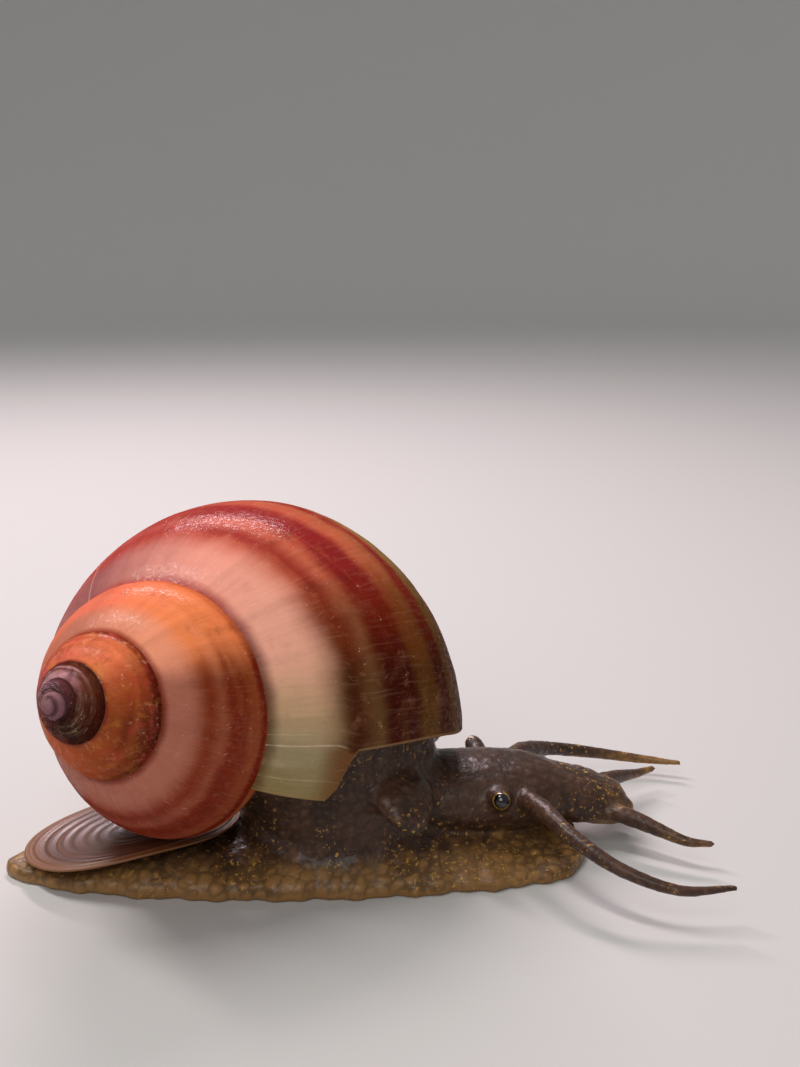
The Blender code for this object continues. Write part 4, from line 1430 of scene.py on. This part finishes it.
    def add_lobes(self, field: FleshField) -> None:
        """Joins on the rolled siphon with its bore and its slit, and the flat lobe on the other side."""
        field.add_limb(self.siphon)
        field.add_limb(self.lobe)
        path = path_through((*self.siphon.points, self.siphon_end), 20)[9:] + SHIFT
        window, places = field.window(path.min(0) - 3.2, path.max(0) + 3.2)
        bore = np.array(self.siphon.sizes[0]) - self.siphon_wall
        field.cut(window, limb_distance(places, path, np.tile(bore, (len(path), 1))))
        slit = np.column_stack([np.linspace(0.2, 0.55, len(path)), np.full(len(path), 1.3)])
        field.cut(window, limb_distance(places, path - (0, 0, 1.7), slit))

    def settle(self, points: np.ndarray, quads: np.ndarray) -> np.ndarray:
        """Smooths the mesh: points go to their neighbours' mean and part of the way back, three times."""
        ends = np.concatenate([quads[:, [0, 1]], quads[:, [1, 2]], quads[:, [2, 3]], quads[:, [3, 0]]])
        count = np.bincount(ends[:, 0], minlength=len(points)).astype(float)
        flat = points[:, 2] < 0.06
        for share in (0.6, -0.5, 0.6, -0.5, 0.5, -0.3):
            total = [np.bincount(ends[:, 0], points[ends[:, 1], k], len(points)) for k in range(3)]
            points = points + share * (np.stack(total, -1) / count[:, None] - points)
            points[flat, 2] = 0.0
        return points

    def normals(self, points: np.ndarray, quads: np.ndarray) -> np.ndarray:
        """Outward direction at each point: the sum of its faces' cross products, made one long."""
        face = np.cross(points[quads[:, 2]] - points[quads[:, 0]], points[quads[:, 3]] - points[quads[:, 1]])
        total = np.zeros_like(points)
        for corner in range(4):
            for k in range(3):
                total[:, k] += np.bincount(quads[:, corner], face[:, k], len(points))
        return total / np.maximum(np.linalg.norm(total, axis=1), 1e-9)[:, None]

    def relief(self, points: np.ndarray) -> np.ndarray:
        """Height of warts and folds, about -1 to 1: cells on broad noise, and upright folds on the column."""
        p = points - SHIFT
        bent = p + 0.35 * lattice_noise(p, 1.1, 12)[:, None]
        warts = 1.5 * cell_noise(bent, 1.25, 21) - 0.9
        broad = lattice_noise(p, 2.6, 11)
        upright = lattice_noise(p * (1.0, 1.0, 0.28), 1.3, 13)
        reach = smooth_step((p[:, 2] - 4.0) / 3.0) * smooth_step((14.0 - p[:, 0]) / 5.0)
        return 0.65 * warts + 0.35 * broad * (1 - reach) + 0.7 * upright * reach

    def darkness(self, points: np.ndarray) -> np.ndarray:
        """How dark the skin is, 0 at the sole's rim and 1 on top: a rise with height, more on the head."""
        p = points - SHIFT
        rise = smooth_step((p[:, 2] - 0.8) / 4.2)
        ahead = smooth_step((p[:, 0] - 27.0) / 6.0) * (np.abs(p[:, 1]) < 4.5)
        return np.clip(0.12 + 0.82 * rise - 0.35 * ahead, 0, 1)

    def build(self) -> Piece:
        """Makes the skin: one field of all the forms, its surface, smoothed and given its relief.

        Returns:
            The dressed piece.
        """
        field = FleshField(self.low, self.high, self.step)
        chart = SectionChart(self.form)
        self.add_foot(field)
        self.add_column(field)
        self.add_head(field)
        self.add_lobes(field)
        self.add_mantle(field, chart)
        window, places = field.window(np.array(self.low), np.array([*self.high[:2], 0.6]))
        field.cut(window, places[..., 2])
        points, quads = field.surface()
        points, quads = largest_body(points, quads)
        points = self.settle(points, quads)
        fold = self.relief(points)
        free = smooth_step((points[:, 2] - 0.15) / 0.8)
        x, y = points[:, 0] - SHIFT[0], points[:, 1] - SHIFT[1]
        thin = np.maximum(smooth_step((x - 31.0) / 6.0), smooth_step((np.abs(y) - 11.5) / 3.0))
        depth = self.relief_depth * free * (1 - 0.7 * thin)
        points = points + self.normals(points, quads) * (fold * depth)[:, None]
        points[:, 2] = np.maximum(points[:, 2], 0.0)
        piece = new_piece("skin", points, quads)
        set_values(piece, "fold", fold * free)
        set_values(piece, "dark", self.darkness(points))
        turn_outward(piece)
        piece.data.materials.append(SkinFinish().build())
        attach(piece, "root")
        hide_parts(*(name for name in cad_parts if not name.startswith(HARD_NODES)))
        return piece


def largest_body(points: np.ndarray, quads: np.ndarray) -> tuple[np.ndarray, np.ndarray]:
    """Keeps the connected surface with the most points: labels spread along edges until they settle.

    Args:
        points: Vertices.
        quads: Faces.

    Returns:
        Vertices and faces of the largest body.
    """
    label = np.arange(len(points))
    while True:
        low = label[quads].min(1)
        spread = label.copy()
        for k in range(4):
            np.minimum.at(spread, quads[:, k], low)
        spread = spread[spread]
        if np.array_equal(spread, label):
            break
        label = spread
    keep = label == np.bincount(label).argmax()
    number = np.cumsum(keep) - 1
    return points[keep], number[quads[keep[quads].all(1)]]


@dataclass(frozen=True)
class HornFinish:
    """Brown horn with growth rings."""

    ring_tints: tuple[Color, Color] = (linear((58, 26, 14)), linear((112, 58, 28)))
    cloud_tint: Color = linear((84, 44, 22))
    edge_tint: Color = linear((150, 96, 52))

    def build(self) -> bpy.types.Material:
        """Makes the material.

        Returns:
            The finished material.
        """
        make = Maker("operculum_finish")
        ring = make.attribute("ring")
        wave = make.noise(make.pack(ring, 0.0, 0.0), 26.0, 4.0, 0.6)
        cloud = make.noise(make.place(), 260.0, 4.0)
        color = make.mix(make.step(wave, 0.35, 0.65), *self.ring_tints)
        color = make.paint(color, self.cloud_tint, cloud, 0.6)
        color = make.paint(color, self.edge_tint, make.step(ring, 0.8, 1.0), 0.5)
        make.dress(Base_Color=color, Roughness=make.plus(0.3, make.times(cloud, 0.2)), Coat_Weight=0.25,
                   Coat_Roughness=0.25, Normal=make.bump(wave, 0.5, 0.0002))
        return make.material


@dataclass
class Operculum:
    """Thin horny plate on the tail: rings round an off-centre start, each a little raised."""

    skin: Skin
    x: float = -18.0
    half: tuple[float, float] = (11.0, 7.6)
    thick: float = 0.7
    bed: float = 0.4
    rings: int = 56
    around: int = 120
    start: tuple[float, float] = (0.1, -0.22)

    def surface(self, share: np.ndarray, angle: np.ndarray, level: np.ndarray) -> np.ndarray:
        """Place on the plate: the outline drawn in towards the off-centre start, riding on the foot's crown.

        Args:
            share: 0 at the start of the rings and 1 at the edge.
            angle: Direction round the plate.
            level: Height within the plate's thickness, 0 to 1.

        Returns:
            Points in millimetres.
        """
        out_x = self.half[0] * np.cos(angle)
        out_y = self.half[1] * np.sin(angle) * (1 - 0.12 * np.cos(angle))
        x = self.x + self.half[0] * self.start[0] * (1 - share) + out_x * share
        y = self.half[1] * self.start[1] * (1 - share) + out_y * share
        steps = 0.05 * np.sin(share * 58.0) + 0.03 * np.sin(share * 133.0 + 1.0)
        dish = 0.18 * (share ** 2 - 0.5)
        edge = np.sqrt(np.clip(1 - share ** 10, 0, 1))
        bed = self.skin.crown(x) + self.skin.foot_lift + self.bed
        top = bed + self.thick * (0.5 + (level - 0.5) * edge) + (steps * level * edge + dish)
        return np.stack([x, y, top], -1) + SHIFT

    def build(self) -> Piece:
        """Makes the plate.

        Returns:
            The dressed piece.
        """
        angle = np.linspace(0, TAU, self.around, endpoint=False)[None]
        out = np.sin(np.linspace(0.02, np.pi / 2, self.rings))[:, None]
        under = self.surface(out, angle, np.zeros_like(out))
        over = self.surface(out[::-1], angle, np.ones_like(out))
        points = np.concatenate([under, over[1:]])
        poles = np.stack([points[0].mean(0), points[-1].mean(0)])
        faces = tube_faces(*points.shape[:2])
        piece = new_piece("operculum_plate", np.concatenate([points.reshape(-1, 3), poles]), faces)
        ring = np.concatenate([out, out[::-1][1:]]) + 0 * angle
        set_values(piece, "ring", np.concatenate([ring.ravel(), [0.0, 0.0]]))
        turn_outward(piece)
        piece.data.materials.append(HornFinish().build())
        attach(piece, "root")
        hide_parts("operculum")
        return piece


@dataclass(frozen=True)
class EyeFinish:
    """Glossy black eye with a gold ring."""

    black: Color = linear((10, 8, 8))
    gold: Color = linear((176, 132, 58))

    def build(self) -> bpy.types.Material:
        """Makes the material.

        Returns:
            The finished material.
        """
        make = Maker("eye_finish")
        pole = make.attribute("pole")
        speck = make.noise(make.place(), 2600.0, 3.0)
        ring = make.times(make.step(pole, 0.1, 0.3), make.step(pole, 0.62, 0.45))
        color = make.mix(make.times(ring, make.step(speck, 0.3, 0.6)), self.black, self.gold)
        make.dress(Base_Color=color, Roughness=0.12, Coat_Weight=0.8, Coat_Roughness=0.05)
        return make.material


@dataclass
class Eyes:
    """Two eyes, each a ball half sunk in the end of its stalk."""

    skin: Skin
    radius: float = 0.92
    out: float = 0.3
    rings: int = 18
    around: int = 28

    def build_one(self, side: Side, name: str, node: str, finish: bpy.types.Material) -> Piece:
        """Makes one eye: a ball whose latitude runs from the stalk outward.

        Args:
            side: Which eye.
            name: Name of the piece.
            node: Solid that it stands for.
            finish: Its material.

        Returns:
            The dressed piece.
        """
        path = path_through(self.skin.stalk.on(side).points, 9) + SHIFT
        ahead = path[-1] - path[-2]
        ahead /= np.linalg.norm(ahead)
        across = np.cross(ahead, (0, 0, 1))
        across /= np.linalg.norm(across)
        upward = np.cross(across, ahead)
        centre = path[-1] + ahead * self.out
        tilt = np.linspace(-np.pi / 2, np.pi / 2, self.rings + 2)[1:-1, None, None]
        angle = np.linspace(0, TAU, self.around, endpoint=False)[None, :, None]
        round_axis = np.cos(angle) * across + np.sin(angle) * upward
        points = centre + self.radius * (np.cos(tilt) * round_axis + np.sin(tilt) * ahead)
        poles = np.stack([centre - self.radius * ahead, centre + self.radius * ahead])
        faces = tube_faces(self.rings, self.around)
        piece = new_piece(name, np.concatenate([points.reshape(-1, 3), poles]), faces)
        pole = np.sin(tilt[..., 0]) + 0 * angle[..., 0]
        set_values(piece, "pole", np.concatenate([pole.ravel(), [-1.0, 1.0]]))
        turn_outward(piece)
        piece.data.materials.append(finish)
        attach(piece, "root")
        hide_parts(node)
        return piece

    def build(self) -> list[Piece]:
        """Makes both eyes with one finish."""
        finish = EyeFinish().build()
        return [self.build_one(Side.LEFT, "left_eye", "eye_left", finish),
                self.build_one(Side.RIGHT, "right_eye", "eye_right", finish)]


@dataclass(frozen=True)
class Lamp:
    """An oblong soft light, in metres and watts: its middle, its aim and the direction of its long side."""

    name: str
    place: Point
    aim: Point
    along: Point
    size: tuple[float, float]
    power: float
    color: Color

    def build(self) -> None:
        """Adds the light, its face square to the line from its middle to its aim."""
        data = bpy.data.lights.new(self.name, "AREA")
        data.shape = "RECTANGLE"
        data.size, data.size_y = self.size
        data.energy = self.power
        data.color = self.color
        light = bpy.data.objects.new(self.name, data)
        bpy.context.scene.collection.objects.link(light)
        back = (Vector(self.place) - Vector(self.aim)).normalized()
        short = back.cross(Vector(self.along)).normalized()
        turn = Matrix((short.cross(back), short, back)).transposed().to_4x4()
        turn.translation = Vector(self.place)
        light.matrix_world = turn


@dataclass
class Studio:
    """Pale floor, soft lights and the photograph's camera."""

    form: ShellForm
    camera_offset: Point = (14.51, -116.38, 42.839)
    forward: Point = (0.1350, 0.9609, -0.2419)
    focal_pixels: float = 1400.0
    picture: tuple[int, int] = (800, 1067)
    sensor: float = 36.0
    inner_floor: float = 200.0
    flat_floor: float = 600.0
    floor_bend: float = 400.0
    wall_height: float = 650.0
    floor_tints: tuple[Color, Color] = ((0.56, 0.555, 0.545), (0.7, 0.7, 0.695))
    lamps: tuple[Lamp, ...] = (
        Lamp("key_light", (-0.02, 0.264, 0.283), (-0.014, 0.002, 0.035), (0.73, -0.47, 0.5), (0.24, 0.035),
             0.84, (1.0, 0.82, 0.88)),
        Lamp("left_light", (-0.16, 0.05, 0.35), (-0.025, -0.01, 0.03), (0.53, -0.74, 0.42), (0.28, 0.04),
             0.85, (1.0, 0.95, 0.93)),
        Lamp("front_light", (-0.14, -0.38, 0.36), (0.0, 0.0, 0.016), (1.0, -0.4, 0.0), (0.3, 0.3),
             0.82, (1.0, 0.98, 0.96)))
    sky: Color = (0.80, 0.80, 0.79)
    sky_strength: float = 0.36

    def add_camera(self) -> None:
        """Sets the camera by its place from the apex and the way that it looks, level from side to side."""
        data = bpy.data.cameras.new("photo_camera")
        data.sensor_fit = "AUTO"
        data.sensor_width = self.sensor
        data.lens = self.focal_pixels / max(self.picture) * self.sensor
        data.clip_start, data.clip_end = 0.005, 20.0
        camera = bpy.data.objects.new("photo_camera", data)
        bpy.context.scene.collection.objects.link(camera)
        forward = Vector(self.forward).normalized()
        right = forward.cross(Vector((0, 0, 1))).normalized()
        turn = Matrix((right, right.cross(forward), -forward)).transposed().to_4x4()
        turn.translation = Vector((self.form.origin() + np.array(self.camera_offset)) * MM)
        camera.matrix_world = turn
        bpy.context.scene.camera = camera

    def add_floor(self) -> None:
        """Adds the floor: flat round the animal, then curving up in a quarter circle to a far, low wall."""
        bend = np.linspace(0, np.pi / 2, 24)
        far = self.flat_floor + self.floor_bend
        out = np.concatenate([[self.inner_floor], self.flat_floor + self.floor_bend * np.sin(bend), [far]])
        rise = np.concatenate([[0.0], self.floor_bend * (1 - np.cos(bend)), [self.wall_height]])
        angle = np.linspace(0, TAU, 96, endpoint=False)
        rings = np.stack([out[:, None] * np.cos(angle), out[:, None] * np.sin(angle),
                          rise[:, None] + 0 * angle], -1)
        faces = tube_faces(len(out), len(angle))[:-len(angle)]
        floor = new_piece("floor", np.concatenate([rings.reshape(-1, 3), [[0.0, 0.0, 0.0]]]), faces)
        floor.data.flip_normals()
        make = Maker("floor_finish")
        x, y, _ = make.split(make.place())
        distance = make.math("SQRT", make.plus(make.math("POWER", x, 2.0), make.math("POWER", y, 2.0)))
        color = make.mix(make.step(distance, 0.12, 0.8), *self.floor_tints)
        make.dress(Base_Color=color, Roughness=0.8, Specular_IOR_Level=0.2)
        floor.data.materials.append(make.material)

    def build(self) -> None:
        """Sets up the whole studio."""
        self.add_camera()
        self.add_floor()
        for lamp in self.lamps:
            lamp.build()
        world = bpy.data.worlds.new("studio")
        world.use_nodes = True
        background = world.node_tree.nodes["Background"]
        background.inputs["Color"].default_value = (*self.sky, 1.0)
        background.inputs["Strength"].default_value = self.sky_strength
        bpy.context.scene.world = world
        bpy.context.scene.view_settings.view_transform = "Standard"


def main() -> None:
    """Builds the studio and each part of the animal in order."""
    logging.basicConfig(level=logging.INFO, format="%(message)s")
    form = ShellForm()
    Studio(form).build()
    shell = Shell(form).build()
    log.info("shell: %d faces", len(shell.data.polygons))
    skin = Skin(form)
    flesh = skin.build()
    log.info("skin: %d faces", len(flesh.data.polygons))
    plate = Operculum(skin).build()
    log.info("operculum: %d faces", len(plate.data.polygons))
    for eye in Eyes(skin).build():
        log.info("%s: %d faces", eye.name, len(eye.data.polygons))


if __name__ == "__main__":
    main()
